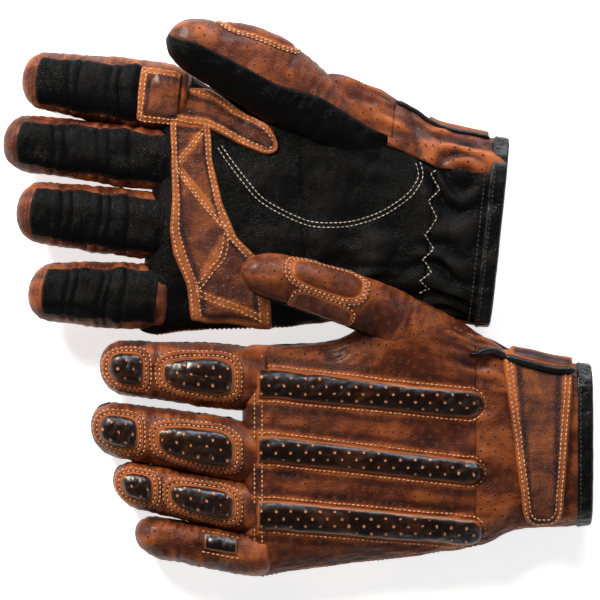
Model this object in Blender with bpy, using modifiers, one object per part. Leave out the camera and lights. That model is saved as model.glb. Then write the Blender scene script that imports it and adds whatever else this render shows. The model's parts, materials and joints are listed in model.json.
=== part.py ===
"""Pair of short-cuff leather motorcycle gloves, lying on a flat surface.

The right glove lies palm up. The left glove lies back up beside it, with its thumb across the
other's palm. Each glove is sewn from separate panels, which are built here as shells on one hand
form, with padded bars and patches laid over them.

Glove coordinates, in metres: u runs from the mouth of the cuff to the fingertips, v towards the
thumb, and w towards the back of the hand, with w = 0 at half thickness.
"""
import math

import bmesh
import bpy
import numpy as np
from mathutils import Matrix

WALL = 0.0018            # two layers of leather and lining
SEAM_GAP = 0.0012        # between panels that meet edge to edge
LAY_GAP = 0.0009         # between a faceted panel and what is sewn on it
CUFF_LENGTH = 0.055
KNUCKLE = 0.168          # distance of the knuckle line from the cuff's mouth
ROUNDNESS = 2.2          # exponent of the hand's section, 2 being an ellipse
FLATTEN = 1.12           # how much the section is cut flat, front and back
FLEX_HALF = math.radians(33.0)    # half of the wedge that a bending finger needs
BAR_HEIGHT = 0.0036
PAD_HEIGHT = 0.0030
PATCH_HEIGHT = 0.0018
STRAP_LIFT = 0.0029      # the strap clears the fastening patches under it
STRAP_HEIGHT = 0.0022
STRAP_SPAN = (0.006, 0.041)

BROWN = (0.20, 0.065, 0.025)
BLACK = (0.012, 0.011, 0.011)
PAD_BROWN = (0.045, 0.022, 0.015)

# Hand form: distance from the cuff's mouth, half width on the thumb side, half width on the
# little finger's side, depth towards the back and depth towards the palm.
LEFT_HAND = (
    (0.000, 0.0385, 0.0385, 0.0115, 0.0120),
    (0.020, 0.0400, 0.0410, 0.0115, 0.0122),
    (0.040, 0.0440, 0.0415, 0.0122, 0.0122),
    (0.060, 0.0560, 0.0505, 0.0130, 0.0112),
    (0.084, 0.0690, 0.0545, 0.0130, 0.0110),
    (0.098, 0.0660, 0.0555, 0.0130, 0.0110),
    (0.112, 0.0520, 0.0565, 0.0130, 0.0110),
    (0.140, 0.0500, 0.0595, 0.0130, 0.0110),
    (0.170, 0.0475, 0.0650, 0.0130, 0.0110),
)
RIGHT_HAND = (
    (0.000, 0.0455, 0.0460, 0.0115, 0.0120),
    (0.020, 0.0465, 0.0450, 0.0115, 0.0122),
    (0.040, 0.0500, 0.0395, 0.0122, 0.0122),
    (0.060, 0.0600, 0.0450, 0.0130, 0.0112),
    (0.084, 0.0710, 0.0530, 0.0130, 0.0110),
    (0.098, 0.0640, 0.0560, 0.0130, 0.0110),
    (0.112, 0.0500, 0.0575, 0.0130, 0.0110),
    (0.140, 0.0530, 0.0610, 0.0130, 0.0110),
    (0.170, 0.0650, 0.0670, 0.0130, 0.0110),
)
SADDLE = 0.088           # where the thumb's root swells, from the cuff's mouth
SADDLE_SPREAD = 0.024
KNUCKLE_LINE_GAP = 0.0008
FINGER_BACK = 0.0115
FINGER_PALM = 0.0105
TIP_LENGTH = 0.014
BACK_WRAP = 28.0         # degrees that a finger's brown leather reaches below its side

# Each glove: name, place of the cuff's mouth, turn about Z, whether its back is up, hand form,
# rise of the thumb's root, curl of the fingertips, fingers, thumb.
# A finger is root v, slope of v, length, half width at the root and at the tip.
GLOVES = {
    "right": {
        "origin": (0.0972, 0.0329, 0.0175),
        "turn": 174.0,
        "back_up": False,
        "hand": RIGHT_HAND,
        "saddle_rise": -0.012,
        "curl": -0.006,
        "fingers": {
            "index": (0.0490, 0.030, 0.0730, 0.0152, 0.0142),
            "middle": (0.0180, 0.020, 0.0790, 0.0143, 0.0135),
            "ring": (-0.0148, 0.015, 0.0690, 0.0158, 0.0148),
            "little": (-0.0494, -0.065, 0.0590, 0.0155, 0.0138),
        },
        "thumb": {"root": (0.1115, 0.0580, -0.0170), "tip": (0.1700, 0.0803, -0.0190),
                  "width": (0.0165, 0.0105), "roll": 0.0},
        "bars": ((0.0270, 0.0350), (-0.0050, 0.0000), (-0.0350, -0.0360)),
    },
    "left": {
        "origin": (0.1432, -0.0723, 0.0137),
        "turn": 180.0,
        "back_up": True,
        "hand": LEFT_HAND,
        "saddle_rise": 0.014,
        "curl": -0.0015,
        "fingers": {
            "index": (0.0322, 0.090, 0.0745, 0.0140, 0.0132),
            "middle": (-0.0050, 0.180, 0.0790, 0.0142, 0.0132),
            "ring": (-0.0325, 0.215, 0.0680, 0.0122, 0.0112),
            "little": (-0.0545, 0.180, 0.0570, 0.0097, 0.0102),
        },
        "thumb": {"root": (0.104, 0.0660, 0.0215), "tip": (0.1715, 0.0870, 0.0290),
                  "width": (0.0128, 0.0105), "roll": 62.0},
        "bars": ((0.0185, 0.0305), (-0.0150, -0.0020), (-0.0435, -0.0335)),
    },
}


class Glove:
    """One glove: its hand form, and the frame that its panels stand in."""

    def __init__(self, side, data, collection):
        self.side = side
        self.data = data
        self.collection = collection
        self.up = 1.0 if data["back_up"] else -1.0
        self.frame = bpy.data.objects.new(f"{side}_glove_frame", None)
        self.frame.location = data["origin"]
        self.frame.rotation_euler = (0.0, 0.0, math.radians(data["turn"]))
        collection.objects.link(self.frame)

    def widths(self, u):
        """Interpolate the hand form's half widths and depths smoothly at u."""
        rows = np.array(self.data["hand"])
        u = np.asarray(u, dtype=float)
        index = np.clip(np.searchsorted(rows[:, 0], u) - 1, 0, len(rows) - 2)
        start = rows[index, 0]
        part = np.clip((u - start) / (rows[index + 1, 0] - start), 0.0, 1.0)
        part = (part * part * (3.0 - 2.0 * part))[..., None]
        return rows[index, 1:] * (1.0 - part) + rows[index + 1, 1:] * part

    def saddle(self, u, v, half_width):
        """Rise of the thumb's root: a bell along u that grows with the square of v."""
        bell = np.exp(-((u - SADDLE) / SADDLE_SPREAD) ** 2)
        return self.data["saddle_rise"] * bell * (np.maximum(v, 0.0) / half_width) ** 2

    def hand(self, u, angle, grow=0.0):
        """Point of the hand form: angle 0 at the thumb side, 90 degrees at the back."""
        size = self.widths(u)
        cosine = np.cos(angle)
        sine = np.sin(angle)
        half_width = np.where(cosine > 0.0, size[..., 0], size[..., 1])
        depth = np.where(sine > 0.0, size[..., 2], size[..., 3])
        power = 2.0 / ROUNDNESS
        v = (half_width + grow) * np.sign(cosine) * np.abs(cosine) ** power
        w = FLATTEN * (depth + grow) * np.abs(sine) ** power
        w = np.sign(sine) * np.minimum(w, depth + grow)
        return np.stack([u + 0.0 * v, v, w + self.saddle(u, v, half_width)], axis=-1)

    def over_hand(self, u, v, face, grow=0.0):
        """Point of the hand form above plan position u, v; face is 1 at the back, -1 at the palm."""
        size = self.widths(u)
        half_width = np.where(v > 0.0, size[..., 0], size[..., 1])
        depth = size[..., 2] if face > 0 else size[..., 3]
        side = np.clip(np.abs(v) / half_width, 0.0, 0.985)
        w = FLATTEN * depth * (1.0 - side ** ROUNDNESS) ** (1.0 / ROUNDNESS)
        w = face * (np.minimum(w, depth) + grow)
        return np.stack([u, v, w + self.saddle(u, v, half_width)], axis=-1)

    def finger(self, name, s, angle, grow=0.0):
        """Point of a finger at s from the knuckle line, with a rounded and slightly curled tip."""
        root, slope, length, wide_root, wide_tip = self.data["fingers"][name]
        cap = np.clip((s - (length - TIP_LENGTH)) / TIP_LENGTH, 0.0, 0.995)
        cap = (1.0 - cap ** 2.2) ** (1.0 / 2.2)
        half_width = (wide_root + (wide_tip - wide_root) * s / length) * cap + grow
        depth = np.where(np.sin(angle) > 0.0, FINGER_BACK, FINGER_PALM) * cap + grow
        droop = self.data["curl"] * (s / length) ** 2
        v = root + slope * s + half_width * np.cos(angle)
        return np.stack([KNUCKLE + s, v, droop + depth * np.sin(angle)], axis=-1)

    def over_finger(self, name, s, across, grow=0.0):
        """Point on a finger's back at s, with across from -1 to 1 over the finger's width."""
        angle = np.arccos(np.clip(across, -0.98, 0.98))
        return self.finger(name, s, angle, grow)

    def thumb_axes(self):
        """Root, length and unit axes of the thumb: along it, across it and out of its back."""
        thumb = self.data["thumb"]
        root = np.array(thumb["root"])
        along = np.array(thumb["tip"]) - root
        length = float(np.linalg.norm(along))
        along /= length
        across = np.array([-along[1], along[0], 0.0])
        across /= np.linalg.norm(across)
        return root, length, along, across, np.cross(along, across)

    def thumb(self, s, angle, grow=0.0):
        """Point of the thumb: angle 90 degrees faces the back of its hand before its roll."""
        root, length, along, across, outward = self.thumb_axes()
        wide_root, wide_tip = self.data["thumb"]["width"]
        cap = np.clip((s - (length - TIP_LENGTH)) / TIP_LENGTH, 0.0, 0.995)
        cap = (1.0 - cap ** 2.2) ** (1.0 / 2.2)
        half_width = (wide_root + (wide_tip - wide_root) * s / length) * cap + grow
        depth = 0.0105 * cap + grow
        point = root + s[..., None] * along
        point = point + (half_width * np.cos(angle))[..., None] * across
        return point + (depth * np.sin(angle))[..., None] * outward

    def strap_hinge_point(self):
        """Middle of the strap's hinge: outside all of its sewn end and just below it."""
        edge = self.hand(np.array(STRAP_SPAN[1]), np.radians(10.0), STRAP_LIFT + STRAP_HEIGHT)
        return np.array([sum(STRAP_SPAN) / 2.0, edge[1] + 0.0005, edge[2] - 0.0005])

    def local(self, points):
        """Turn glove coordinates into the frame empty's own: x along u, z upwards."""
        return points * np.array([1.0, -1.0, self.up])

    def joint_empty(self, name, point):
        """Empty on a joint's axis, which carries the moving panels."""
        empty = bpy.data.objects.new(f"{self.side}_{name}", None)
        empty.parent = self.frame
        empty.location = self.local(np.array(point))
        self.collection.objects.link(empty)
        return empty


def material(name, colour, roughness):
    """Plain Principled material."""
    result = bpy.data.materials.get(name) or bpy.data.materials.new(name)
    result.use_nodes = True
    shader = result.node_tree.nodes["Principled BSDF"]
    shader.inputs["Base Color"].default_value = (*colour, 1.0)
    shader.inputs["Roughness"].default_value = roughness
    shader.inputs["Metallic"].default_value = 0.0
    return result


def panel(glove, name, points, finish, thickness, parent=None, cap_end=False):
    """Closed panel: a grid of points on the outer (or lower) surface, given its wall by Solidify.

    A positive thickness grows outwards from the grid, a negative one inwards. The grid's rows run
    along u and its columns turn from the thumb side over the back.
    """
    parent = parent or glove.frame
    rows, columns = points.shape[:2]
    local = glove.local(points.reshape(-1, 3))
    if parent is not glove.frame:
        local = local - np.array(parent.location)
    mesh = bpy.data.meshes.new(f"{glove.side}_{name}")
    build = bmesh.new()
    verts = [build.verts.new(point) for point in local]
    for row in range(rows - 1):
        for column in range(columns - 1):
            corner = row * columns + column
            face = [corner, corner + 1, corner + columns + 1, corner + columns]
            build.faces.new([verts[index] for index in face])
    if cap_end:
        build.faces.new([verts[(rows - 1) * columns + column] for column in range(columns)])
    if glove.up > 0.0:
        bmesh.ops.reverse_faces(build, faces=build.faces[:])
    build.to_mesh(mesh)
    build.free()
    mesh.shade_smooth()
    mesh.materials.append(finish)
    part = bpy.data.objects.new(f"{glove.side}_{name}", mesh)
    part.parent = parent
    glove.collection.objects.link(part)
    wall = part.modifiers.new("wall", "SOLIDIFY")
    wall.thickness = abs(thickness)
    wall.offset = 1.0 if thickness > 0.0 else -1.0
    return part


def grid(first, second):
    """Two matching arrays over every pair of the two lists."""
    return np.meshgrid(first, second, indexing="ij")


def turn(start, end, count):
    """Evenly spaced angles, in radians, from degrees."""
    return np.radians(np.linspace(start, end, count))


def half_turn(low, count):
    """Angles over half a turn, with a narrow first and last step so that the rims stay level."""
    return np.radians(low + np.concatenate([[0.0, 3.0], np.linspace(0.0, 180.0, count)[1:-1],
                                            [177.0, 180.0]]))


def hand_half(glove, name, finish, span, face, columns):
    """Half shell of the hand or the cuff, from one side seam to the other.

    At the knuckle line the palm's edge is cut back as a wedge, which leaves room for the fingers.
    """
    start, end, rows = span
    side = 1.0 if face > 0 else -1.0
    low = 0.0 if face > 0 else 180.0
    part, angle = grid(np.linspace(0.0, 1.0, rows), half_turn(low, columns))
    if end > KNUCKLE - CUFF_LENGTH:
        rim = glove.hand(end + 0.0 * angle, angle)
        depth = np.maximum(-rim[..., 2], 0.0)
        u = start + (end - depth * math.tan(FLEX_HALF) - start) * part
    else:
        u = start + (end - start) * part
    points = glove.hand(u, angle)
    edge = np.abs(np.sin(angle)) < 1e-6
    points[..., 2] = np.where(edge, points[..., 2] + side * SEAM_GAP / 2.0, points[..., 2])
    return panel(glove, name, points, finish, -WALL)


def tip_rows(length, bends=(30.0, 52.0, 70.0)):
    """Rows along a finger: even along its straight part, then at the given bends of its tip."""
    straight = np.linspace(0.0, 1.0, 5)
    bend = np.radians(bends)
    return straight, length - TIP_LENGTH + TIP_LENGTH * np.sin(bend) ** (2.0 / 2.2)


def finger_panels(glove, name, brown, black):
    """Brown back and black palm-side inset of one finger, on an empty at its knuckle."""
    root, length = glove.data["fingers"][name][0], glove.data["fingers"][name][2]
    knuckle = glove.joint_empty(f"{name}_knuckle", (KNUCKLE, root, 0.0))
    front_low = 180.0 + BACK_WRAP + 8.0
    spans = (("back", -BACK_WRAP, 180.0 + BACK_WRAP, 10, (30.0, 52.0, 70.0), brown),
             ("front", front_low, 540.0 - front_low, 5, (30.0, 52.0), black))
    for part_name, low, high, columns, bends, finish in spans:
        straight, tip = tip_rows(length, bends)
        angle = turn(low, high, columns)
        depth = np.maximum(-np.sin(angle), 0.0) * FINGER_PALM
        start = KNUCKLE_LINE_GAP + depth * math.tan(FLEX_HALF)
        end = length - TIP_LENGTH
        body = start[None, :] + (end - start[None, :]) * straight[:, None]
        s = np.concatenate([body, np.repeat(tip[:, None], columns, axis=1)])
        points = glove.finger(name, s, np.broadcast_to(angle, s.shape))
        panel(glove, f"{name}_{part_name}", points, finish, -WALL, knuckle, cap_end=True)
    return knuckle


def thumb_panels(glove, brown, black):
    """Brown back and black front of the thumb, on an empty at the thumb's root."""
    root, length = glove.thumb_axes()[:2]
    hinge = glove.joint_empty("thumb_root", root)
    roll = glove.data["thumb"]["roll"]
    for name, low, high, finish in (("thumb_back", roll - 92.0, roll + 92.0, brown),
                                    ("thumb_front", roll + 97.0, roll + 263.0, black)):
        straight, tip = tip_rows(length)
        s = np.concatenate([straight * (length - TIP_LENGTH), tip])
        s, angle = grid(s, turn(low, high, 9))
        panel(glove, name, glove.thumb(s, angle), finish, -WALL, hinge, cap_end=True)
    return hinge


def rounded(part, blunt):
    """Share of the full width along a pad: 1 in the middle, smaller at its rounded ends."""
    end = np.maximum(np.abs(2.0 * part - 1.0) - (1.0 - blunt), 0.0) / blunt
    return np.sqrt(1.0 - 0.75 * end ** 2)


def finger_pads(glove, name, knuckle, finish):
    """Padded ovals on a finger's back: a long one by the knuckle and a short one near the tip."""
    length = glove.data["fingers"][name][2]
    part, across = grid(np.linspace(0.0, 1.0, 8), np.linspace(-1.0, 1.0, 5))
    pads = (("knuckle_pad", 0.006, length * 0.60, 0.58, 0.66),
            ("tip_pad", length * 0.655, length - 0.0085, 0.58, 0.56))
    for pad, start, end, wide_root, wide_tip in pads:
        half = (wide_root + (wide_tip - wide_root) * (1.0 - part)) * rounded(part, 0.45)
        points = glove.over_finger(name, start + (end - start) * part, half * across, LAY_GAP)
        panel(glove, f"{pad}_{name}", points[:, ::-1], finish, PAD_HEIGHT, knuckle)


def back_bars(glove, finish):
    """Three long padded bars over the back of the hand, square at the knuckle line."""
    for name, (cuff_v, knuckle_v) in zip(("index", "middle", "ring"), glove.data["bars"]):
        part, across = grid(np.linspace(0.0, 1.0, 8), np.linspace(1.0, -1.0, 5))
        taper = np.sqrt(np.clip(0.35 + part / 0.12, 0.35, 1.0))
        u = 0.052 + (0.164 - 0.052) * part
        v = cuff_v + (knuckle_v - cuff_v) * part + 0.0068 * taper * across
        points = glove.over_hand(u, v, 1, LAY_GAP)
        panel(glove, f"back_bar_{name}", points, finish, BAR_HEIGHT)


def palm_patches(glove, finish):
    """Second leather layers on the palm: below the fingers, and between index and thumb."""
    size = glove.widths(np.array(0.150))
    part, across = grid(np.linspace(0.0, 1.0, 5), np.linspace(0.0, 1.0, 10))
    low, high = -0.86 * size[1], 0.52 * size[0]
    v = low + (high - low) * across
    start = 0.150 - 0.028 * (1.0 - across)
    u = start + (0.1595 - start) * part
    panel(glove, "palm_patch", glove.over_hand(u, v, -1, LAY_GAP), finish, PATCH_HEIGHT)
    part, across = grid(np.linspace(0.0, 1.0, 5), np.linspace(0.0, 1.0, 4))
    v = 0.56 * size[0] + 0.26 * size[0] * across
    u = 0.126 + (0.1605 - 0.126) * part
    panel(glove, "web_patch", glove.over_hand(u, v, -1, LAY_GAP), finish, PATCH_HEIGHT)


def closing_strap(glove, brown, black):
    """Strap over the back of the wrist on an empty at its sewn end, and the patch that it grips."""
    u, angle = grid(np.linspace(*STRAP_SPAN, 4), turn(12.0, 158.0, 13))
    points = glove.hand(u, angle, STRAP_LIFT)
    hinge = glove.joint_empty("strap_hinge", glove.strap_hinge_point())
    panel(glove, "strap", points, brown, STRAP_HEIGHT, hinge)
    u, angle = grid(np.linspace(0.010, 0.041, 3), turn(112.0, 146.0, 5))
    panel(glove, "loop_patch", glove.hand(u, angle, LAY_GAP), black, 0.0015)


def binding(glove, name, points, radius, closed, finish):
    """Rolled leather edge: a round tube along a line of points."""
    curve = bpy.data.curves.new(f"{glove.side}_{name}", "CURVE")
    curve.dimensions = "3D"
    curve.bevel_depth = radius
    curve.bevel_resolution = 1
    curve.use_fill_caps = not closed
    spline = curve.splines.new("POLY")
    spline.points.add(len(points) - 1)
    for target, point in zip(spline.points, glove.local(points)):
        target.co = (*point, 1.0)
    spline.use_cyclic_u = closed
    curve.materials.append(finish)
    part = bpy.data.objects.new(f"{glove.side}_{name}", curve)
    part.parent = glove.frame
    glove.collection.objects.link(part)


def bindings(glove, black):
    """Bound mouth of the cuff, and the bound slit at the thumb side of the wrist."""
    angle = turn(0.0, 360.0, 33)[:-1]
    mouth = glove.hand(-0.0016 + 0.0 * angle, angle, -0.0010)
    binding(glove, "cuff_binding", mouth, 0.0014, True, black)
    part = np.linspace(0.0, 1.0, 9)
    slit = glove.hand(0.008 + 0.046 * part, np.radians(-14.0 + 6.0 * part), 0.0027)
    binding(glove, "vent_binding", slit, 0.0011, False, black)


def build_glove(side, data, collection):
    """All the pieces of one glove."""
    glove = Glove(side, data, collection)
    brown = material("brown_leather", BROWN, 0.45)
    black = material("black_leather", BLACK, 0.40)
    pad = material("padded_leather", PAD_BROWN, 0.35)
    cuff_end = CUFF_LENGTH - SEAM_GAP / 2.0
    hand_start = CUFF_LENGTH + SEAM_GAP / 2.0
    hand_end = KNUCKLE - KNUCKLE_LINE_GAP
    hand_half(glove, "hand_back", brown, (hand_start, hand_end, 8), 1, 14)
    hand_half(glove, "palm_panel", black, (hand_start, hand_end, 8), -1, 14)
    hand_half(glove, "cuff_back", brown, (0.0008, cuff_end, 5), 1, 13)
    hand_half(glove, "cuff_palm", black, (0.0008, cuff_end, 5), -1, 13)
    for name in data["fingers"]:
        knuckle = finger_panels(glove, name, brown, black)
        if name != "little":
            finger_pads(glove, name, knuckle, pad)
    hinge = thumb_panels(glove, brown, black)
    roll = data["thumb"]["roll"]
    length = glove.thumb_axes()[1]
    s, angle = grid(np.linspace(length * 0.22, length * 0.72, 6), turn(roll - 38.0, roll + 38.0, 5))
    panel(glove, "thumb_pad", glove.thumb(s, angle, LAY_GAP), brown, PAD_HEIGHT, hinge)
    back_bars(glove, pad)
    palm_patches(glove, brown)
    closing_strap(glove, brown, black)
    bindings(glove, black)


def main():
    """Clear the file, then build both gloves in one collection."""
    for item in list(bpy.data.objects):
        bpy.data.objects.remove(item)
    collection = bpy.data.collections.new("riding_gloves")
    bpy.context.scene.collection.children.link(collection)
    for side, data in GLOVES.items():
        build_glove(side, data, collection)


main()
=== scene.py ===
"""Visual model of a pair of short-cuff leather riding gloves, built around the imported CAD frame.

Every leather panel is a grid of points on one of three analytic surfaces: the hand with its cuff, a
finger, or the thumb. Pads, bars, patches, seams and stitches are draped over the same surfaces, so
they follow every fold of the leather under them.
"""
from __future__ import annotations

import json
import logging
import math
from dataclasses import dataclass, field
from enum import Enum
from typing import Callable, Optional, Sequence

import bmesh
import bpy
import numpy as np
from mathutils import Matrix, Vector


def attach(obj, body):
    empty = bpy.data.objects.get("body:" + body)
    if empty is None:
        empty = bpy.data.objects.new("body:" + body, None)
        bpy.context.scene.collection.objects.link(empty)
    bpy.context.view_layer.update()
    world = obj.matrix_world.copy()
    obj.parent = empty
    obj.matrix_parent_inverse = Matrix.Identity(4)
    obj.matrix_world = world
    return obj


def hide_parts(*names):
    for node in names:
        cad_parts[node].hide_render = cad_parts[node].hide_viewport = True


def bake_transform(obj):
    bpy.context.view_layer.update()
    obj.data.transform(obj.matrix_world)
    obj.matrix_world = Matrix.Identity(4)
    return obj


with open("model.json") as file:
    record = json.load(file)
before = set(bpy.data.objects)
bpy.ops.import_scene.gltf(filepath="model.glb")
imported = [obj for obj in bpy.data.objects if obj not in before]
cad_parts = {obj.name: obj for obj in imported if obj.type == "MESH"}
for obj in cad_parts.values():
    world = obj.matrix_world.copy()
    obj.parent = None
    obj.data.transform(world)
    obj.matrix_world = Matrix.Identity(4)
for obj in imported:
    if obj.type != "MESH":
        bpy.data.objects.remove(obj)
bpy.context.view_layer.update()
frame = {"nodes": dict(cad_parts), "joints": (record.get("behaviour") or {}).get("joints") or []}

LOG = logging.getLogger("gloves")
Array = np.ndarray
Piece, Material = bpy.types.Object, bpy.types.Material
Tree, Socket = bpy.types.NodeTree, bpy.types.NodeSocket
UP = np.array([0.0, 0.0, 1.0])
FINGERS = ("index", "middle", "ring", "little")
PADDED_FINGERS = ("index", "middle", "ring")
MM = 0.001
TURN = 2.0 * math.pi


# ---- numbers
def smoothstep(low: float, high: float, value: Array) -> Array:
    """Rise smoothly from 0 at low to 1 at high."""
    part = np.clip((value - low) / (high - low), 0.0, 1.0)
    return part * part * (3.0 - 2.0 * part)


def bump(value: Array, centre: float, width: float) -> Array:
    """Bell of height 1 around centre, with the given half width."""
    return np.exp(-(((value - centre) / width) ** 2))


def unit(vectors: Array) -> Array:
    """Scale vectors along the last axis to length 1."""
    return vectors / np.maximum(np.linalg.norm(vectors, axis=-1, keepdims=True), 1e-12)


def mesh_grid(first: Array, second: Array) -> tuple[Array, Array]:
    """Two arrays over every pair of the two lists."""
    pair = np.meshgrid(first, second, indexing="ij")
    return pair[0], pair[1]


def ripple(first: Array, second: Array, seed: int, sizes: tuple[float, float], waves: int = 9) -> Array:
    """Smooth random relief between about -1 and 1, the same each run.

    The formula is a sum of sine waves whose directions and phases come from a seeded generator,
    with their lengths spread around the two given sizes.

    Args:
        first: first surface coordinate, in metres.
        second: second surface coordinate, in metres.
        seed: seed of the generator.
        sizes: typical wave length along each coordinate, in metres.
        waves: number of sine waves.

    Returns:
        The relief at each point.
    """
    draw = np.random.default_rng(seed)
    total = np.zeros(np.broadcast(first, second).shape)
    for _ in range(waves):
        turn = draw.uniform(0.0, TURN)
        scale = draw.uniform(0.6, 1.7)
        phase = draw.uniform(0.0, TURN)
        along = first * math.cos(turn) / sizes[0] + second * math.sin(turn) / sizes[1]
        total = total + np.sin(TURN * scale * along + phase)
    return total / math.sqrt(waves)


def quick_start(count: int) -> Array:
    """Places from 0 to 1 by a quarter of a sine wave, closest together at the end."""
    return np.sin(np.linspace(0.0, 1.0, count) * math.pi / 2.0)


def slow_start(count: int) -> Array:
    """Places from 0 to 1 by a quarter of a cosine wave, closest together at the start."""
    return 1.0 - np.cos(np.linspace(0.0, 1.0, count) * math.pi / 2.0)


def path_lengths(points: Array) -> Array:
    """Distance along a line of points, from its first point."""
    steps = np.linalg.norm(np.diff(points, axis=0), axis=1)
    return np.concatenate([[0.0], np.cumsum(steps)])


def on_path(places: Array, lengths: Array, values: Array) -> Array:
    """Values of a line of vectors at the given distances along it."""
    return np.stack([np.interp(places, lengths, values[:, k]) for k in range(3)], axis=1)


# ---- meshes
def grid_faces(rows: int, columns: int, wrap: bool) -> Array:
    """Quads of a grid whose columns may close on themselves.

    Args:
        rows: rows of points.
        columns: points in a row.
        wrap: whether the last column joins the first.

    Returns:
        Corner indices, (n, 4).
    """
    last = columns if wrap else columns - 1
    row, column = np.meshgrid(np.arange(rows - 1), np.arange(last), indexing="ij")
    after = (column + 1) % columns
    corners = [row * columns + column, row * columns + after,
               (row + 1) * columns + after, (row + 1) * columns + column]
    return np.stack(corners, axis=-1).reshape(-1, 4)


def make_object(name: str, points: Array, faces: Array, material: Material,
                flat_map: Optional[Array] = None,
                marks: Optional[dict[str, Array]] = None) -> Piece:
    """Put points and faces into a new object at the origin.

    Args:
        name: the piece's name.
        points: positions, (n, 3), in metres.
        faces: corner indices, (m, 3) or (m, 4), facing outwards.
        material: finish of the piece.
        flat_map: per-point flat coordinates in metres, kept as the UV map "flat".
        marks: per-point values from 0 to 1, kept as named attributes for the material.

    Returns:
        The linked object.
    """
    points = np.asarray(points, dtype=float).reshape(-1, 3)
    mesh = bpy.data.meshes.new(name)
    width = faces.shape[1]
    mesh.vertices.add(len(points))
    mesh.vertices.foreach_set("co", points.astype(np.float32).ravel())
    mesh.loops.add(faces.size)
    mesh.loops.foreach_set("vertex_index", faces.astype(np.int32).ravel())
    mesh.polygons.add(len(faces))
    mesh.polygons.foreach_set("loop_start", np.arange(0, faces.size, width, dtype=np.int32))
    mesh.update(calc_edges=True)
    if flat_map is not None:
        layer = mesh.uv_layers.new(name="flat")
        layer.data.foreach_set("uv", flat_map.reshape(-1, 2)[faces.ravel()].astype(np.float32).ravel())
    for mark, values in (marks or {}).items():
        attribute = mesh.attributes.new(mark, "FLOAT", "POINT")
        attribute.data.foreach_set("value", np.asarray(values, dtype=np.float32).ravel())
    mesh.polygons.foreach_set("use_smooth", np.ones(len(faces), dtype=bool))
    mesh.materials.append(material)
    mesh.validate()
    made = bpy.data.objects.new(name, mesh)
    bpy.context.scene.collection.objects.link(made)
    return made


def outward(points: Array, faces: Array, reference: Array) -> Array:
    """Turn all the faces of a grid round if most of them face against the reference directions.

    Args:
        points: grid of positions.
        faces: corner indices.
        reference: outward direction at each point.

    Returns:
        The faces, turned if need be.
    """
    corner = points.reshape(-1, 3)[faces]
    normal = np.cross(corner[:, 1] - corner[:, 0], corner[:, 2] - corner[:, 0])
    normal += np.cross(corner[:, 2] - corner[:, 0], corner[:, -1] - corner[:, 0])
    agree = np.sum(normal * reference.reshape(-1, 3)[faces[:, 0]])
    return faces[:, ::-1].copy() if agree < 0.0 else faces


def merge_poles(made: Piece) -> None:
    """Join the coincident points of a closed grid's seams and poles.

    Args:
        made: object to mend.
    """
    work = bmesh.new()
    work.from_mesh(made.data)
    bmesh.ops.remove_doubles(work, verts=work.verts[:], dist=1e-6)
    bmesh.ops.dissolve_degenerate(work, edges=work.edges[:], dist=1e-7)
    work.to_mesh(made.data)
    work.free()


def remark(made: Piece, mark: str, level: Array, added: bool = False) -> None:
    """Raise a mark to a level at each point, or add the level to it.

    Args:
        made: object that carries the mark.
        mark: name of the mark.
        level: level at each point.
        added: whether the level is added, within 0 to 1.
    """
    data = made.data.attributes[mark].data
    values = np.empty(len(data), dtype=np.float32)
    data.foreach_get("value", values)
    values = np.clip(values + level, 0.0, 1.0) if added else np.maximum(values, level)
    data.foreach_set("value", values.astype(np.float32))


def thicken(made: Piece, wall: float) -> None:
    """Give an open leather sheet its wall, inwards from its outer face.

    Args:
        made: object of the sheet.
        wall: thickness, in metres.
    """
    solid = made.modifiers.new("wall", "SOLIDIFY")
    solid.thickness = wall
    solid.offset = -1.0


# ---- surfaces
class Surface:
    """A surface over two parameters that also gives its outward directions."""

    def at(self, first: Array, second: Array) -> Array:
        """World position at each pair of parameters."""
        raise NotImplementedError

    def core(self, first: Array, second: Array) -> Array:
        """Point inside the body from which the surface faces away."""
        raise NotImplementedError

    def normal(self, first: Array, second: Array) -> Array:
        """Outward unit normals, from central differences of the surface.

        Args:
            first: first parameter.
            second: second parameter.

        Returns:
            Directions, (..., 3).
        """
        step = self.steps
        along = self.at(first + step[0], second) - self.at(first - step[0], second)
        across = self.at(first, second + step[1]) - self.at(first, second - step[1])
        normal = unit(np.cross(along, across))
        side = np.sum(normal * (self.at(first, second) - self.core(first, second)), axis=-1)
        return normal * np.where(side < 0.0, -1.0, 1.0)[..., None]

    @property
    def steps(self) -> tuple[float, float]:
        """Difference steps of the two parameters."""
        return 0.0008, 0.02

    def lifted(self, first: Array, second: Array, height: Array | float) -> Array:
        """Position at a height above the surface."""
        return self.at(first, second) + self.normal(first, second) * np.asarray(height)[..., None]


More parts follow.
